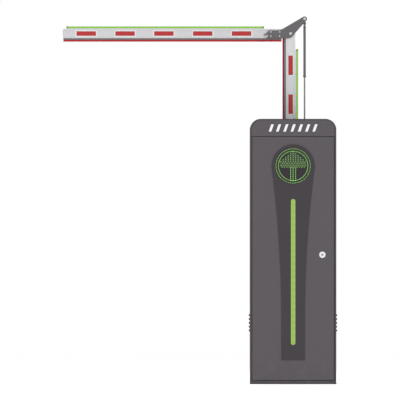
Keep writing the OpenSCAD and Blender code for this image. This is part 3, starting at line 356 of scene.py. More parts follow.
def lit_diffuser(name, tone, core, middle, half, axis, pitch, gasket=0.0):
    """Milky diffuser lit from behind: a core colour along its middle line, a soft beat of the lamps
    behind it and a dark gasket round its rim."""
    glow = Finish(name)
    across = abs((glow.x if axis == "z" else glow.z) - middle)
    along = glow.z if axis == "z" else glow.x
    beat = ((along * (2 * math.pi / pitch)).cos() + 1) * 0.5
    line = 1 - across.ease(half * 0.6, half)
    grain = glow.noise(500)
    colour = glow.mix(line, shade(*tone), shade(*core))
    colour = glow.mix(beat * 0.08 + grain * 0.04, colour, shade(226, 246, 176))
    colour = glow.mix(glow.edge() * gasket, colour, shade(62, 66, 56))
    skin = glow.mix(0.55, colour, shade(20, 26, 14))
    return glow.done(Base_Color=skin, Emission_Color=colour, Emission_Strength=0.5,
                     Roughness=0.42 + grain * 0.1, Normal=glow.bump(grain, 0.00003))


def window_glass(name, tone):
    """Smoked window over a field of unlit lamps."""
    glass = Finish(name)
    pitch = 3.9 * MM
    u = abs(glass.x % pitch - pitch / 2)
    v = abs(glass.z % pitch - pitch / 2)
    lamp = 1 - (u * u + v * v).ease((0.7 * MM) ** 2, (1.1 * MM) ** 2)
    colour = glass.mix(lamp * 0.16 + glass.noise(8) * 0.06, shade(*tone), shade(88, 88, 84))
    return glass.done(Base_Color=colour, Roughness=0.3 + glass.noise(60, detail=3) * 0.08,
                      Specular_IOR_Level=0.4)


def lamp_dots(name, tone, lamp):
    """Lit lamps, a little uneven from one to the next."""
    dots = Finish(name)
    uneven = dots.cells(140, out="Color")
    colour = dots.mix(dots.axes(uneven)[0] * 0.3, shade(*tone), shade(170, 220, 140))
    return dots.done(Base_Color=colour, Emission_Color=colour, Emission_Strength=lamp, Roughness=0.4)


def enamel(name, tone):
    """Smooth bright skin, printed or plated, with a slightly uneven film. On the nickel and plated parts
    the bright colour is a painted highlight in place of the metal's glint.
    """
    ink = Finish(name)
    film = ink.noise(300, detail=3)
    colour = ink.mix(film, toned(tone, -8), shade(*tone))
    return ink.done(Base_Color=colour, Roughness=0.34 + film * 0.15, Normal=ink.bump(film, 0.00003))


FIN = {
    "cabinet": powder_coat("cabinet_powder_coat", shade(86, 81, 86)),
    # Painted shade: the shell, base, rear panel and front frame take the cabinet paint darkened, standing
    # in for the shade on the cabinet's rounded sides.
    "edge": powder_coat("wrapper_powder_coat", shade(71, 66, 71)),
    "crank": powder_coat("crank_powder_coat", shade(103, 100, 103), gloss=0.44, dusty=False),
    "frame": powder_coat("frame_powder_coat", shade(70, 67, 71), gloss=0.55),
    "inlay": moulded("inlay_film", (55, 49, 55), rough=0.46, grain=900, depth=0.00003),
    "motor": powder_coat("motor_enamel", shade(58, 78, 100), gloss=0.35, dusty=False),
    "zinc": zinc_plate("zinc_plate"),
    "yellow_zinc": zinc_plate("yellow_zinc_plate", warm=1.0),
    "galvanised": zinc_plate("galvanised_sheet", spangle=True),
    "steel": turned_steel("turned_steel"),
    "dark_steel": turned_steel("blackened_steel", tone=108, rough=0.42),
    "spring": turned_steel("phosphated_spring_wire", tone=62, rough=0.45),
    "cast": sand_cast("cast_iron"),
    "alloy": sand_cast("cast_aluminium", tone=(168, 170, 172)),
    # Painted light: the lower arm is the same profile as the outer arm, toned lighter for the light that
    # falls on it.
    "arm_x": drawn_aluminium("outer_arm_profile", (214, 213, 215), "x"),
    "arm_z_painted_light": drawn_aluminium("lower_arm_profile", (229, 229, 231), "z"),
    "link_steel": turned_steel("link_rod_steel", tone=147, rough=0.4),
    "carrier_x": drawn_aluminium("outer_edge_rail", (112, 108, 110), "x", rough=0.45),
    "carrier_z": drawn_aluminium("lower_edge_rail", (128, 131, 133), "z", rough=0.45),
    "red_rubber": rubber("red_edge_rubber", (184, 30, 40)),
    # Painted shade: the same red rubber darkened for the lower arm, whose edge lies in shade.
    "red_rubber_painted_shade": rubber("dark_red_edge_rubber", (148, 34, 46)),
    "black_rubber": rubber("black_rubber", (34, 34, 36)),
    "black_plastic": moulded("black_plastic", (38, 38, 41)),
    "grey_plastic": moulded("light_grey_plastic", (176, 178, 180)),
    "orange_plastic": moulded("orange_plastic", (214, 112, 34), rough=0.4),
    "cap_green": moulded("diffuser_end_cap", (66, 116, 50), rough=0.42),
    "white_rail": moulded("light_rail_plastic", (243, 240, 248), rough=0.45),
    "red_film": reflector_film("red_reflector_film", (176, 16, 20)),
    "white_film": reflector_film("white_reflector_film", (220, 232, 234), cell=2.2 * MM),
    "white": enamel("white_enamel", (254, 254, 255)),
    # Painted highlight: the lock ring, pivot bolt, crank pin and crank bolt heads are light non-metal
    # colours standing in for the glint of bright metal.
    "nickel": enamel("polished_nickel", (246, 246, 247)),
    "plated": enamel("plated_bolts", (216, 216, 218)),
    "brass": turned_steel("brass_contacts", tone=150, rough=0.28),
    "indicator": lamp_dots("indicator_green", (90, 200, 90), 0.6),
}


# ---- pieces ----

def new_piece(name, mesh):
    piece = bpy.data.objects.new(name, mesh)
    bpy.context.scene.collection.objects.link(piece)
    return piece


def mid(low, high):
    return (low + high) / 2


def shade_smooth(mesh, angle=SHARP):
    """Smooth shading up to an angle in degrees."""
    mesh.polygons.foreach_set("use_smooth", [True] * len(mesh.polygons))
    mesh.set_sharp_from_angle(angle=math.radians(angle))


def settle(piece):
    """Turns a piece's modifiers into plain mesh."""
    graph = bpy.context.evaluated_depsgraph_get()
    mesh = bpy.data.meshes.new_from_object(piece.evaluated_get(graph))
    piece.modifiers.clear()
    piece.data = mesh
    return piece


def round_edges(piece, width, steps=2):
    """Rounds every sharp edge, and marks the new faces with the attribute that wear() reads."""
    while len(piece.data.materials) < 2:
        piece.data.materials.append(None)
    shade_smooth(piece.data)
    bevel = piece.modifiers.new("edge", "BEVEL")
    bevel.width = width
    bevel.segments = steps
    bevel.limit_method = "ANGLE"
    bevel.angle_limit = math.radians(SHARP)
    bevel.harden_normals = True
    bevel.material = 1
    settle(piece)
    faces = piece.data.polygons
    marks = [float(face.material_index == 1) for face in faces]
    piece.data.attributes.new("edge", "FLOAT", "FACE").data.foreach_set("value", marks)
    faces.foreach_set("material_index", [0] * len(faces))
    piece.data.materials.clear()
    return piece


def merged(node):
    """A clean copy of a CAD node's mesh: joined corners, and one face for each flat."""
    mesh = NODES[node].data.copy()
    mesh.materials.clear()
    work = bmesh.new()
    work.from_mesh(mesh)
    bmesh.ops.remove_doubles(work, verts=work.verts, dist=MERGE)
    bmesh.ops.dissolve_limit(work, angle_limit=math.radians(0.6), verts=work.verts, edges=work.edges)
    work.to_mesh(mesh)
    work.free()
    return mesh


def enrol(piece, node, replace=True):
    """Puts a piece on its CAD node's body, in the node's place or beside it."""
    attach(piece, body_of(NODES[node])[0])
    if replace:
        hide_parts(node)
    return piece


def dress(piece, finish, node, replace=True):
    """Gives a piece of one finish that finish and its body."""
    piece.data.materials.clear()
    piece.data.materials.append(FIN[finish] if isinstance(finish, str) else finish)
    return enrol(piece, node, replace)


def rounded_copy(node, finish, width):
    """The CAD node's own shape with its edges rounded; width is in millimetres."""
    piece = round_edges(new_piece(f"{node}_rounded", merged(node)), width * MM)
    return dress(piece, finish, node)


def solids(node):
    """Lowest and highest corners of each separate solid in a CAD node."""
    work = bmesh.new()
    work.from_mesh(NODES[node].data)
    bmesh.ops.remove_doubles(work, verts=work.verts, dist=MERGE)
    left, found = set(work.verts), []
    while left:
        group, open_verts = [], [left.pop()]
        while open_verts:
            vert = open_verts.pop()
            group.append(vert.co.copy())
            near = {edge.other_vert(vert) for edge in vert.link_edges} & left
            left -= near
            open_verts.extend(near)
        found.append((Vector(map(min, *group)), Vector(map(max, *group))))
    work.free()
    return sorted(found, key=lambda pair: tuple(pair[0]))


def rectangle(x0, x1, z0, z1):
    """Corners of a rectangle, round from its lower left."""
    return [(x0, z0), (x1, z0), (x1, z1), (x0, z1)]


def rounded_outline(corners, radii, steps=5):
    """Outline whose corners are arcs; radii holds one radius for each corner."""
    made = []
    count = len(corners)
    for i, (here, radius) in enumerate(zip(corners, radii)):
        here = Vector(here)
        back = (Vector(corners[i - 1]) - here).normalized()
        ahead = (Vector(corners[(i + 1) % count]) - here).normalized()
        if radius == 0:
            made.append(here)
            continue
        half = back.angle(ahead) / 2
        middle = here + (back + ahead).normalized() * (radius / math.sin(half))
        start = here + back * (radius / math.tan(half)) - middle
        end = here + ahead * (radius / math.tan(half)) - middle
        for k in range(steps + 1):
            spoke = start.lerp(end, k / steps).normalized() * radius
            made.append(middle + spoke)
    return made


def prism(name, outline, axis, low, high):
    """Closed bar along an axis; outline gives the other two coordinates in x, y, z order."""
    spare = [i for i in range(3) if i != axis]
    work = bmesh.new()
    rings = []
    for level in (low, high):
        ring = []
        for point in outline:
            corner = [0, 0, 0]
            corner[axis] = level
            corner[spare[0]], corner[spare[1]] = point
            ring.append(work.verts.new(corner))
        rings.append(ring)
    count = len(outline)
    for i in range(count):
        j = (i + 1) % count
        work.faces.new((rings[0][i], rings[0][j], rings[1][j], rings[1][i]))
    work.faces.new(rings[0])
    work.faces.new(rings[1])
    bmesh.ops.recalc_face_normals(work, faces=work.faces)
    mesh = bpy.data.meshes.new(name)
    work.to_mesh(mesh)
    work.free()
    return new_piece(name, mesh)


def join(name, parts):
    """One object from several, keeping each one's material."""
    work = bmesh.new()
    mesh = bpy.data.meshes.new(name)
    for part in parts:
        start = len(mesh.materials)
        for material in part.data.materials:
            mesh.materials.append(material)
        first = len(work.faces)
        work.from_mesh(part.data)
        work.faces.ensure_lookup_table()
        for face in work.faces[first:]:
            face.material_index += start
        bpy.data.objects.remove(part)
    work.to_mesh(mesh)
    work.free()
    return new_piece(name, mesh)


# ---- repeated things ----

class Recipe(Graph):
    """A Geometry Nodes tree whose sizes are named inputs. It ends in plain faces with a finish."""
    KINDS = {float: "NodeSocketFloat", int: "NodeSocketInt", tuple: "NodeSocketVector"}
    CREASE = 32  # degrees between two faces past which they are shaded apart

    def __init__(self, name, **sizes):
        super().__init__(bpy.data.node_groups.new(name, "GeometryNodeTree"))
        plugs = self.tree.interface
        plugs.new_socket("Geometry", in_out="INPUT", socket_type="NodeSocketGeometry")
        plugs.new_socket("Geometry", in_out="OUTPUT", socket_type="NodeSocketGeometry")
        self.keys = {"finish": plugs.new_socket("finish", in_out="INPUT", socket_type="NodeSocketMaterial")}
        for label, value in sizes.items():
            kind = self.KINDS[type(value)]
            self.keys[label] = plugs.new_socket(label, in_out="INPUT", socket_type=kind)
            self.keys[label].default_value = value
        self.entry = self.node("NodeGroupInput")

    def size(self, label):
        return self.entry.of(label)

    def joined(self, parts):
        together = self.node("GeometryNodeJoinGeometry", values={0: parts[0]})
        for part in parts[1:]:
            self.tree.links.new(part.socket, together.socket.node.inputs[0])
        return together

    def instances(self, points, piece, **turn_or_scale):
        return self.node("GeometryNodeInstanceOnPoints", values={
            "Points": points, "Instance": piece, **turn_or_scale})

    def close(self, geometry):
        """Ends the tree in plain faces with the finish that the piece was given."""
        real = self.node("GeometryNodeRealizeInstances", values={0: geometry})
        dressed = self.node("GeometryNodeSetMaterial", values={
            "Geometry": real, "Material": self.size("finish")})
        self.node("NodeGroupOutput", values={0: dressed})

    def grow(self, name, finish, points=(), **sizes):
        """A plain mesh object made by the tree on the given points."""
        mesh = bpy.data.meshes.new(name)
        mesh.from_pydata([tuple(point) for point in points], [], [])
        piece = new_piece(name, mesh)
        made = piece.modifiers.new("recipe", "NODES")
        made.node_group = self.tree
        for label, value in {"finish": finish, **sizes}.items():
            made[self.keys[label].identifier] = value
        settle(piece)
        work = bmesh.new()
        work.from_mesh(piece.data)
        bmesh.ops.recalc_face_normals(work, faces=work.faces)
        work.to_mesh(piece.data)
        work.free()
        shade_smooth(piece.data, self.CREASE)
        return piece


def turned(recipe, radius, height, profile, segments):
    """Solid turned round Z. Each row of the profile has the share of the radius, the share of the
    height, and 1 where the section is a hexagon."""
    last = len(profile) - 1
    sheet = recipe.node("GeometryNodeMeshGrid", out="Mesh", values={
        "Size X": 1.0, "Size Y": 1.0, "Vertices X": segments + 1, "Vertices Y": last + 1})
    column, row, _ = recipe.axes(recipe.node("GeometryNodeInputPosition"))
    turn = (column + 0.5) * (2 * math.pi)
    stops = [(i / last, (*shares, 1)) for i, shares in enumerate(profile)]
    ramp = recipe.node("ShaderNodeValToRGB", {"stops": stops}, {0: row + 0.5})
    reach, rise, hexagon = recipe.axes(ramp)
    sixth = math.pi / 3
    flat = math.cos(sixth / 2) / (turn % sixth - sixth / 2).cos()
    arm = reach * radius * (1 + hexagon * (flat - 1))
    spot = recipe.vector(arm * turn.cos(), arm * turn.sin(), rise * height)
    shaped = recipe.node("GeometryNodeSetPosition", values={"Geometry": sheet, "Position": spot})
    return recipe.node("GeometryNodeMergeByDistance", values={"Geometry": shaped, "Distance": MERGE})


def stamp_recipe(name, profile):
    """Tree that sets one turned head on each point, each turned by its own seeded angle."""
    recipe = Recipe(name, radius=4 * MM, height=2 * MM, facing=(0.0, 0.0, 0.0), seed=1)
    head = turned(recipe, recipe.size("radius"), recipe.size("height"), profile, segments=24)
    heads = recipe.instances(recipe.size("Geometry"), head, Rotation=recipe.size("facing"))
    angle = recipe.node("FunctionNodeRandomValue", {"data_type": "FLOAT"}, out=1, values={
        2: 0.0, 3: 2 * math.pi, "Seed": recipe.size("seed")})
    spun = recipe.node("GeometryNodeRotateInstances", values={
        "Instances": heads, "Rotation": recipe.vector(0.0, 0.0, angle)})
    recipe.close(spun)
    return recipe


SOCKET_HEAD = stamp_recipe("socket_head", [
    (0, 0, 0), (1, 0, 0), (1, 0.4, 0), (0.94, 0.75, 0), (0.78, 1, 0),
    (0.5, 1, 1), (0.5, 0.3, 1), (0, 0.25, 0)])
HEX_HEAD = stamp_recipe("hexagon_head", [
    (0, 0, 0), (1, 0, 0), (1, 0.16, 0), (0.97, 0.2, 0),
    (0.84, 0.2, 1), (0.84, 0.9, 1), (0.76, 1, 0), (0, 1, 0)])
DOMED_HEAD = stamp_recipe("domed_head", [
    (0, 0, 0), (1, 0, 0), (1, 0.3, 0), (0.86, 0.75, 0), (0.6, 0.95, 0),
    (0.4, 1, 1), (0.3, 0.4, 1), (0, 0.4, 0)])
LAMP_DOME = stamp_recipe("lamp_dome", [
    (0, 0, 0), (1, 0, 0), (1, 0.4, 0), (0.8, 0.8, 0), (0.4, 0.97, 0), (0, 1, 0)])


def lamp_recipe():
    """Two rings of lamps, an arrow of lamps and a woven band across it, in X and Z about the origin."""
    recipe = Recipe("display_lamps", dot=1.9 * MM, rise=0.8 * MM, outer_ring=66 * MM, outer_count=58,
                    inner_ring=56.5 * MM, inner_count=78, column=9.5 * MM, line=7.9 * MM, tip=56 * MM,
                    slope=0.79, shoulder=14.5 * MM, stem=10.5 * MM, band_rows=13.2 * MM,
                    band_height=2.6 * MM, outer_dot=(0.95, 0.95, 1.0), inner_dot=(0.87, 0.87, 1.0),
                    arrow_dot=(0.86, 1.45, 1.0), band_dot=(1.08, 1.08, 1.0))

    def ring(which):
        return recipe.node("GeometryNodeMeshCircle", values={
            "Vertices": recipe.size(f"{which}_count"), "Radius": recipe.size(f"{which}_ring")})

    def field(columns, rows, line):
        return recipe.node("GeometryNodeMeshGrid", out="Mesh", values={
            "Size X": recipe.size("column") * (columns - 1), "Size Y": line * (rows - 1),
            "Vertices X": columns, "Vertices Y": rows})
    x, y, _ = recipe.axes(recipe.node("GeometryNodeInputPosition"))
    side = abs(x)
    roof = recipe.size("tip") - recipe.size("slope") * side
    head = (y < roof) & (y > recipe.size("shoulder"))
    stem = (side < recipe.size("stem")) & (y < 0)
    arrow = recipe.node("GeometryNodeDeleteGeometry", {"domain": "POINT"}, {
        "Geometry": field(11, 15, recipe.size("line")), "Selection": (head | stem) < 0.5})
    band = recipe.node("GeometryNodeTransform", values={
        "Geometry": recipe.joined([field(10, 2, recipe.size("band_rows")), field(11, 1, 0.0)]),
        "Translation": recipe.vector(0.0, recipe.size("band_height"), 0.0)})
    lamp = turned(recipe, recipe.size("dot"), recipe.size("rise"),
                  [(0, 0, 0), (1, 0, 0), (0.8, 0.8, 0), (0, 1, 0)], segments=10)
    groups = [recipe.instances(spots, lamp, Scale=recipe.size(dot)) for spots, dot in (
        (ring("outer"), "outer_dot"), (ring("inner"), "inner_dot"),
        (arrow, "arrow_dot"), (band, "band_dot"))]
    upright = recipe.node("GeometryNodeTransform", values={
        "Geometry": recipe.joined(groups), "Rotation": FACE_FRONT})
    recipe.close(upright)
    return recipe


def spring_recipe():
    """Coil along Z with closed end turns. The wire's path is a line bent round by a formula."""
    turns, steps_a_turn = 12, 32
    recipe = Recipe("coil_spring", coil=21 * MM, wire=2.5 * MM, length=216 * MM)
    wire, coil = recipe.size("wire"), recipe.size("coil")
    line = recipe.node("GeometryNodeCurvePrimitiveLine")
    fine = recipe.node("GeometryNodeResampleCurve", values={
        "Curve": line, "Count": turns * steps_a_turn + 1})
    along = recipe.node("GeometryNodeSplineParameter", out="Factor") * turns
    angle = along * (2 * math.pi)
    end_turn = wire * 2.1
    free_turn = (recipe.size("length") - wire * 2 - end_turn * 2) / (turns - 2)
    rise = (wire + end_turn * (along & 1) + free_turn * (along - 1).clamp(0, turns - 2)
            + end_turn * ((along - (turns - 1)) | 0))
    spot = recipe.vector(coil * angle.cos(), coil * angle.sin(), rise)
    path = recipe.node("GeometryNodeSetPosition", values={"Geometry": fine, "Position": spot})
    section = recipe.node("GeometryNodeCurvePrimitiveCircle", {"mode": "RADIUS"}, {
        "Resolution": 12, "Radius": wire})
    tube = recipe.node("GeometryNodeCurveToMesh", values={
        "Curve": path, "Profile Curve": section, "Fill Caps": True})
    recipe.close(tube)
    return recipe


def move(piece, offset):
    """Shifts a piece's mesh, so that its object stays at the origin."""
    for vert in piece.data.vertices:
        vert.co += Vector(offset)
    return piece


def stamp(recipe, name, finish, node, points, radius, height, facing, replace=False):
    """Heads of one size on a list of points, riding with a CAD node."""
    piece = recipe.grow(name, FIN[finish], points, radius=radius, height=height, facing=facing)
    return dress(piece, finish, node, replace)


# ---- cabinet ----

# CAD nodes that keep their shape, by finish, with the width of their rounded edges in millimetres.
ROUNDED = {
    # The edge finish is the cabinet paint darkened with painted shade.
    "edge": {"cabinet_shell": 0.7, "base_plate": 0.6, "rear_panel": 0.4, "front_frame": 0.4},
    "cabinet": {"top_fascia": 1.2, "door_panel": 1.2},
    "inlay": {"inlay_panel": 0.5},
    "white": {"fascia_emblem": 0.2},
    "frame": {"arm_holder": 1.2, "arm_clamp_plate": 1.0},
    "crank": {"crank_plates": 0.6, "link_tube": 0.5, "link_rod_ends": 0.5},
    "steel": {"main_shaft": 0.8, "elbow_block": 0.5, "worm_shaft": 0.5},
    "zinc": {"chassis_plate_front": 0.5, "chassis_plate_rear": 0.5, "link_anchor": 0.6,
             "spring_shelf": 0.5},
    "yellow_zinc": {"chassis_posts": 0.4},
    "galvanised": {"electronics_plate": 0.3},
    "link_steel": {"link_rod": 0.3},
    "dark_steel": {"hinge_pins": 0.3, "shaft_lever": 0.8, "drive_crank": 0.8, "connecting_rod": 0.4,
                   "spring_rod": 0.4},
    "cast": {"shaft_bearings": 0.8},
    "alloy": {"gearbox_housing": 1.2, "gearbox_cover": 1.0},
    "motor": {"motor_housing": 0.8},
    "black_rubber": {"stop_buffers": 1.0, "door_seal": 0.9},
    "black_plastic": {"shaft_seal_cover": 0.8, "controller_box": 1.5},
    "grey_plastic": {"terminal_block": 0.4, "power_supply": 0.8},
    "orange_plastic": {"limit_sensors": 0.5},
    # Painted highlight: the nickel and plated finishes are light colours standing in for the glint of
    # bright metal.
    "nickel": {"lock_body": 0.8},
    "plated": {"elbow_pivot_bolt": 0.9, "crank_pin": 0.9},
    "carrier_x": {"outer_edge_carrier": 0.6},
    "carrier_z": {"lower_edge_carrier": 0.6},
}
for finish_name, members in ROUNDED.items():
    for node_name, edge_mm in members.items():
        rounded_copy(node_name, finish_name, edge_mm)


def cabinet_fasteners():
    """Screws of the rear panel and the link anchor, with socket heads in place of plain ones."""
    rise = 2.2 * MM
    points = [(mid(low.x, high.x), high.y - rise, mid(low.z, high.z))
              for low, high in solids("cabinet_screws")]
    stamp(SOCKET_HEAD, "cabinet_screw_heads", "zinc", "cabinet_screws", points, 4 * MM, rise,
          FACE_BACK, replace=True)


cabinet_fasteners()


# ---- door, display and lock ----

def lit_bar():
    """Milky bar in the door with a rounded rim."""
    low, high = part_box("light_bar")
    glow = lit_diffuser("door_light_diffuser", (155, 198, 84), (143, 178, 88), mid(low.x, high.x),
                        3.4 * MM, "z", 25 * MM, gasket=0.9)
    piece = round_edges(new_piece("door_light", merged("light_bar")), 1.3 * MM, steps=3)
    dress(piece, glow, "light_bar")


def display():
    """Smoked window with its lit rings and arrow."""
    low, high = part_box("display_lens")
    middle = mid(low, high)
    glass = window_glass("smoked_window", (38, 31, 38))
    window = round_edges(new_piece("display_window", merged("display_lens")), 0.8 * MM)
    dress(window, glass, "display_lens")
    lamps = lamp_dots("display_lamp_green", (118, 177, 82), 0.85)
    sink = 0.3 * MM
    dots = lamp_recipe().grow("display_dots", lamps)
    move(dots, (middle.x, low.y + sink, middle.z))
    dress(dots, lamps, "display_lens", replace=False)


def lock():
    """Lock core with a key slot."""
    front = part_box("lock_cylinder")[0].y
    piece = new_piece("lock_core", merged("lock_cylinder"))
    middle = mid(*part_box("lock_body"))
    slot_w, slot_h, slot_deep = 1.3 * MM, 6.2 * MM, 2.5 * MM
    sides = rectangle(middle.x - slot_w / 2, middle.x + slot_w / 2,
                      middle.z - slot_h / 2, middle.z + slot_h / 2)
    outline = rounded_outline(sides, [0.5 * MM] * 4, steps=3)
    key_slot = prism("key_slot", outline, 1, front - MM, front + slot_deep)
    cut = piece.modifiers.new("slot", "BOOLEAN")
    cut.object = key_slot
    cut.operation = "DIFFERENCE"
    settle(piece)
    bpy.data.objects.remove(key_slot)
    round_edges(piece, 0.25 * MM)
    dress(piece, "steel", "lock_cylinder")


lit_bar()
display()
lock()


# ---- boom ----

def broad_corners(node, finish, on_corner):
    """An arm profile or its cap: its long corners broadly rounded, and its other edges lightly."""
    low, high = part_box(node)
    near, square = 10 * MERGE, 1.0
    mesh = merged(node)
    work = bmesh.new()
    work.from_mesh(mesh)
    weight = work.edges.layers.float.new("bevel_weight_edge")
    for edge in work.edges:
        first, second = (vert.co for vert in edge.verts)
        at_face = all(min(spot.y - low.y, high.y - spot.y) < near for spot in (first, second))
        along_it = abs(first.y - second.y) < near and edge.calc_face_angle(0) > square
        if at_face and along_it and on_corner(first) and on_corner(second):
            edge[weight] = 1
    work.to_mesh(mesh)
    work.free()
    shade_smooth(mesh)
    piece = new_piece(f"{node}_rounded", mesh)
    bevel = piece.modifiers.new("corner", "BEVEL")
    bevel.width = 3 * MM
    bevel.segments = 5
    bevel.limit_method = "WEIGHT"
    bevel.harden_normals = True
    settle(piece)
    round_edges(piece, 0.3 * MM)
    return dress(piece, finish, node)


def arms():
    """Both arm profiles and the outer arm's cap. The lower arm ends in a half round at the elbow."""
    axle = mid(*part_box("elbow_pivot_bolt"))
    low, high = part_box("outer_arm")
    near = (high.z - low.z) / 2 - 0.2 * MM

    def on_level_arm(spot):
        return abs(spot.z - axle.z) > near

    def on_upright_arm(spot):
        if spot.z > axle.z:
            return math.hypot(spot.x - axle.x, spot.z - axle.z) > near
        return abs(spot.x - axle.x) > near
    broad_corners("outer_arm", "arm_x", on_level_arm)
    broad_corners("outer_end_cap", "white_rail", on_level_arm)
    # The lower arm takes the profile colour lightened with painted light.
    broad_corners("lower_arm", "arm_z_painted_light", on_upright_arm)


def edge_rubber(node, finish, axis):
    """Safety edge: bulb with two lips against the rail, drawn along the arm."""
    low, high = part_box(node)
    inner, outer = (high.z, low.z) if axis == 0 else (high.x, low.x)
    lip, waist = 1.4 * MM, 0.9 * MM
    lip_r, neck_r, bulb_r = 0.4 * MM, 0.3 * MM, 3.2 * MM
    neck = inner - lip - waist
    corners = [(low.y, inner), (high.y, inner), (high.y, inner - lip), (high.y - waist, neck),
               (high.y - waist, outer), (low.y + waist, outer), (low.y + waist, neck),
               (low.y, inner - lip)]
    outline = rounded_outline(corners, [0, 0, lip_r, neck_r, bulb_r, bulb_r, neck_r, lip_r])
    if axis == 2:
        outline = [(point[1], point[0]) for point in outline]
    piece = prism(f"{node}_bulb", outline, axis, low[axis], high[axis])
    round_edges(piece, 0.5 * MM)
    dress(piece, finish, node)


def light_strip(node, axis, up, base):
    """White rail with a green half-round diffuser and dark end caps."""
    low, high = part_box(node)
    front, back, foot, top = low.y, high.y, low[up], high[up]
    cap_len, cap_grow, inset, round_r = 5 * MM, 0.2 * MM, 2 * MM, 3.4 * MM

    def bulb(grow):
        sides = rectangle(front + inset - grow, back - inset + grow, foot + base, top - cap_grow + grow)
        return rounded_outline(sides, [0, 0, round_r, round_r])
    rail, body, cap = rectangle(front, back, foot, foot + base), bulb(0), bulb(cap_grow)
    if axis == 2:
        rail, body, cap = ([(point[1], point[0]) for point in line] for line in (rail, body, cap))
    glow = lit_diffuser(f"{node}_diffuser", (136, 196, 58), (142, 204, 62), mid(foot + base, top),
                        2.2 * MM, "z" if axis == 2 else "x", 16.7 * MM)
    start, end = low[axis], high[axis]
    parts = []
    for tag, outline, ends, finish in (
            ("rail", rail, (start, end), FIN["white_rail"]),
            ("lens", body, (start + cap_len, end - cap_len), glow),
            ("cap_low", cap, (start, start + cap_len), FIN["cap_green"]),
            ("cap_high", cap, (end - cap_len, end), FIN["cap_green"])):
        part = round_edges(prism(f"{node}_{tag}", outline, axis, *ends), 0.4 * MM)
        part.data.materials.append(finish)
        parts.append(part)
    enrol(join(f"{node}_lamp", parts), node)


def reflectors(node):
    """Red prismatic patches on white border film."""
    layers = (("film", 0, 0.2 * MM, 1.5 * MM, "white_film"),
              ("patch", 4.5 * MM, 0.4 * MM, 0.8 * MM, "red_film"))
    arm_y = mid(*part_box(node)).y
    parts = []
    for i, (low, high) in enumerate(solids(node)):
        base, side = (high.y, -1) if low.y < arm_y else (low.y, 1)
        for tag, inset, rise, corner, finish in layers:
            sides = rectangle(low.x + inset, high.x - inset, low.z + inset, high.z - inset)
            outline = rounded_outline(sides, [corner] * 4)
            part = prism(f"{node}_{tag}_{i}", outline, 1, *sorted((base, base + side * rise)))
            part.data.materials.append(FIN[finish])
            parts.append(part)
    enrol(join(f"{node}_film", parts), node)


arms()
edge_rubber("outer_edge_rubber", "red_rubber", 0)
# The lower arm's rubber is the red rubber darkened with painted shade.
edge_rubber("lower_edge_rubber", "red_rubber_painted_shade", 2)
light_strip("outer_light_strip", 0, 2, 2 * MM)
light_strip("lower_light_strip", 2, 0, 3.4 * MM)
reflectors("outer_stickers")
reflectors("lower_stickers")


def elbow_fasteners():
    """Bolts and nuts of the crank plates, and bolts of the arm clamp."""
    front, back = (corner.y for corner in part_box("crank_plates"))
    bolts = [mid(low, high) for low, high in solids("elbow_bolts")]
    # The crank bolt heads take the plated colour, a painted highlight.
    stamp(SOCKET_HEAD, "crank_bolt_heads", "plated", "elbow_bolts",
          [(bolt.x, front, bolt.z) for bolt in bolts], 3.1 * MM, 2.2 * MM, FACE_FRONT,
          replace=True)
    stamp(HEX_HEAD, "crank_bolt_nuts", "zinc", "elbow_bolts",
          [(bolt.x, back, bolt.z) for bolt in bolts], 3.9 * MM, 2.5 * MM, FACE_BACK)
    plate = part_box("arm_clamp_plate")[1].y
    clamps = [(mid(low.x, high.x), plate, mid(low.z, high.z))
              for low, high in solids("arm_clamp_bolts") if high.y > plate]
    stamp(HEX_HEAD, "clamp_bolt_heads", "zinc", "arm_clamp_bolts", clamps, 6 * MM, 5 * MM, FACE_BACK,
          replace=True)


elbow_fasteners()


def rubber_clips():
    """Two small dark clips round the outer arm's safety edge, near the elbow."""
    low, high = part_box("outer_edge_rubber")
    half_w, grow, corner = 3 * MM, 0.3 * MM, 3 * MM
    sides = rectangle(low.y - grow, high.y + grow, low.z - grow, high.z)
    outline = rounded_outline(sides, [corner, corner, 0, 0])
    for tag, reach in (("near", 65 * MM), ("far", 98 * MM)):
        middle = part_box("elbow_pivot_bolt")[0].x - reach
        clip = prism(f"rubber_clip_{tag}", outline, 0, middle - half_w, middle + half_w)
        round_edges(clip, 0.3 * MM)
        # The clips take the red rubber that is darkened with painted shade.
        dress(clip, "red_rubber_painted_shade", "outer_edge_rubber", replace=False)


rubber_clips()


def balance_spring():
    """Coil of the balance spring, as long as the CAD spring. The real spring shortens as the boom is
    lowered; this coil keeps its length.
    """
    low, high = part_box("balance_spring")
    wire = 2.5 * MM
    piece = spring_recipe().grow("balance_coil", FIN["spring"], coil=(high.x - low.x) / 2 - wire,
                                 wire=wire, length=high.z - low.z)
    move(piece, (mid(low.x, high.x), mid(low.y, high.y), low.z))
    dress(piece, "spring", "balance_spring")
    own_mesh(piece)


balance_spring()


# ---- control gear ----

def panel(name, node, finish, sides, rise, corner):
    """Plate with rounded corners on the front of a box: sides are its x and z limits."""
    sink, edge = 0.2 * MM, min(0.4 * MM, rise / 3)
    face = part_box(node)[0].y
    outline = rounded_outline(rectangle(*sides), [corner] * 4)
    piece = round_edges(prism(name, outline, 1, face - rise, face + sink), edge)
    return dress(piece, finish, node, replace=False)


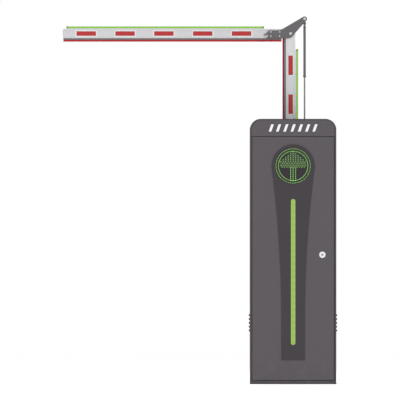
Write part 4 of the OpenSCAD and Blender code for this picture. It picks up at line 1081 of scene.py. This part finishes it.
def controller():
    """Lid with a small readout and signal lamps, and a row of plug screws under it."""
    low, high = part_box("controller_box")
    plug_drop, rim, lid_rise, lid_face = 8 * MM, 6 * MM, 1.4 * MM, 1.2 * MM
    plug_count, plug_pitch, first_plug, lamp_count, lamp_pitch = 10, 15 * MM, 69.5 * MM, 5, 9 * MM
    base, face = low.z + plug_drop, low.y - lid_face
    panel("controller_lid", "controller_box", "grey_plastic",
          (low.x + rim, high.x - rim, base + 4 * rim, high.z - rim), lid_rise, 4 * MM)
    panel("controller_readout", "controller_box", "black_plastic",
          (low.x + 3 * rim, low.x + 9 * rim, high.z - 7 * rim, high.z - 4 * rim), 2 * MM, 1.5 * MM)
    lamps = [(high.x - 4 * rim - i * lamp_pitch, face, high.z - 5.5 * rim) for i in range(lamp_count)]
    stamp(LAMP_DOME, "controller_lamps", "indicator", "controller_box", lamps, 1.8 * MM, 1.6 * MM,
          FACE_FRONT)
    corners = [(x, face, z) for x in (low.x + 2 * rim, high.x - 2 * rim)
               for z in (base + 5 * rim, high.z - 2 * rim)]
    stamp(SOCKET_HEAD, "controller_lid_screws", "zinc", "controller_box", corners, 2.6 * MM, 1.8 * MM,
          FACE_FRONT)
    plugs = [(mid(low.x, high.x) - first_plug + i * plug_pitch, low.y, base + 2 * rim)
             for i in range(plug_count)]
    stamp(DOMED_HEAD, "controller_plug_screws", "brass", "controller_box", plugs, 2.4 * MM, 1.2 * MM,
          FACE_FRONT)


def power_unit():
    """Cooling ribs and cover screws of the supply, and the screws of the terminals."""
    low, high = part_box("power_supply")
    rim, rib_w, rib_pitch, ribs = 8 * MM, 3 * MM, 7 * MM, 9
    for i in range(ribs):
        top = high.z - 2 * rim - i * rib_pitch
        panel(f"supply_rib_{i}", "power_supply", "black_plastic",
              (low.x + 2 * rim, high.x - 2 * rim, top - rib_w, top), 1.2 * MM, 1.2 * MM)
    screws = [(x, low.y, z) for x in (low.x + rim, high.x - rim) for z in (low.z + 3 * rim, high.z - rim)]
    stamp(SOCKET_HEAD, "supply_screws", "zinc", "power_supply", screws, 2.6 * MM, 1.6 * MM,
          FACE_FRONT)
    screw_deep, screw_edge, rail_h = 6 * MM, 10 * MM, 50 * MM
    terminals = [box for box in solids("terminal_block") if box[1].z - box[0].z > rail_h]
    holes = [(mid(foot.x, head.x), foot.y + screw_deep, z) for foot, head in terminals
             for z in (foot.z + screw_edge, head.z - screw_edge)]
    stamp(DOMED_HEAD, "terminal_screws", "brass", "terminal_block", holes, 2.5 * MM, 2 * MM,
          FACE_FRONT)


controller()
power_unit()


# ---- studio ----

def floor():
    """Wide pale floor that is white to the eye."""
    bpy.ops.mesh.primitive_circle_add(vertices=96, radius=14, fill_type="NGON")
    ground = bpy.context.object
    ground.name = "studio_floor"
    pale = Finish("pale_floor")
    colour = pale.mix(pale.noise(1.5), shade(247, 247, 247), shade(250, 250, 250))
    ground.data.materials.append(pale.done(Base_Color=colour, Roughness=0.9, Specular_IOR_Level=0.1,
                                           Emission_Color=colour, Emission_Strength=0.47))


def sky():
    """White backdrop to the eye, and a weaker light on the object."""
    away_from_eye = 0.58
    world = bpy.data.worlds.new("studio")
    bpy.context.scene.world = world
    world.use_nodes = True
    graph = Graph(world.node_tree)
    graph.tree.nodes.clear()
    seen = graph.node("ShaderNodeLightPath")
    strength = seen + (1 - seen) * away_from_eye
    backdrop = graph.node("ShaderNodeBackground", values={"Color": (1, 1, 1, 1), "Strength": strength})
    graph.node("ShaderNodeOutputWorld", values={"Surface": backdrop})


def soft_light(name, place, size, power):
    """Square soft light aimed at the middle of the object."""
    lamp = bpy.data.lights.new(name, "AREA")
    lamp.shape = "SQUARE"
    lamp.size = size
    lamp.energy = power
    stand = bpy.data.objects.new(name, lamp)
    bpy.context.scene.collection.objects.link(stand)
    stand.location = place
    aim = Vector((-0.3, 0, 0.75)) - Vector(place)
    stand.rotation_mode = "QUATERNION"
    stand.rotation_quaternion = aim.to_track_quat("-Z", "Y")
    stand.visible_camera = False


def eye(width):
    """Long lens square to the door, so that width metres fill the view at the shaft's depth."""
    lens, sensor, far = 1500, 36, 200
    data = bpy.data.cameras.new("eye")
    data.lens = lens
    data.sensor_width = sensor
    data.clip_end = far
    camera = bpy.data.objects.new("eye", data)
    bpy.context.scene.collection.objects.link(camera)
    camera.location = (-0.358, -width * lens / sensor, 0.708)
    camera.rotation_euler = (math.pi / 2, 0, 0)
    bpy.context.scene.camera = camera


floor()
sky()
soft_light("key", (-2.6, -3.4, 3.2), 2.4, 29)
soft_light("fill", (3.0, -3.0, 1.6), 2.4, 12)
soft_light("rear", (-1.6, 3.6, 2.6), 2.4, 34)
soft_light("top", (0.2, 0.2, 4.4), 2.0, 24)
eye(1.541)
bpy.context.scene.view_settings.view_transform = "Standard"
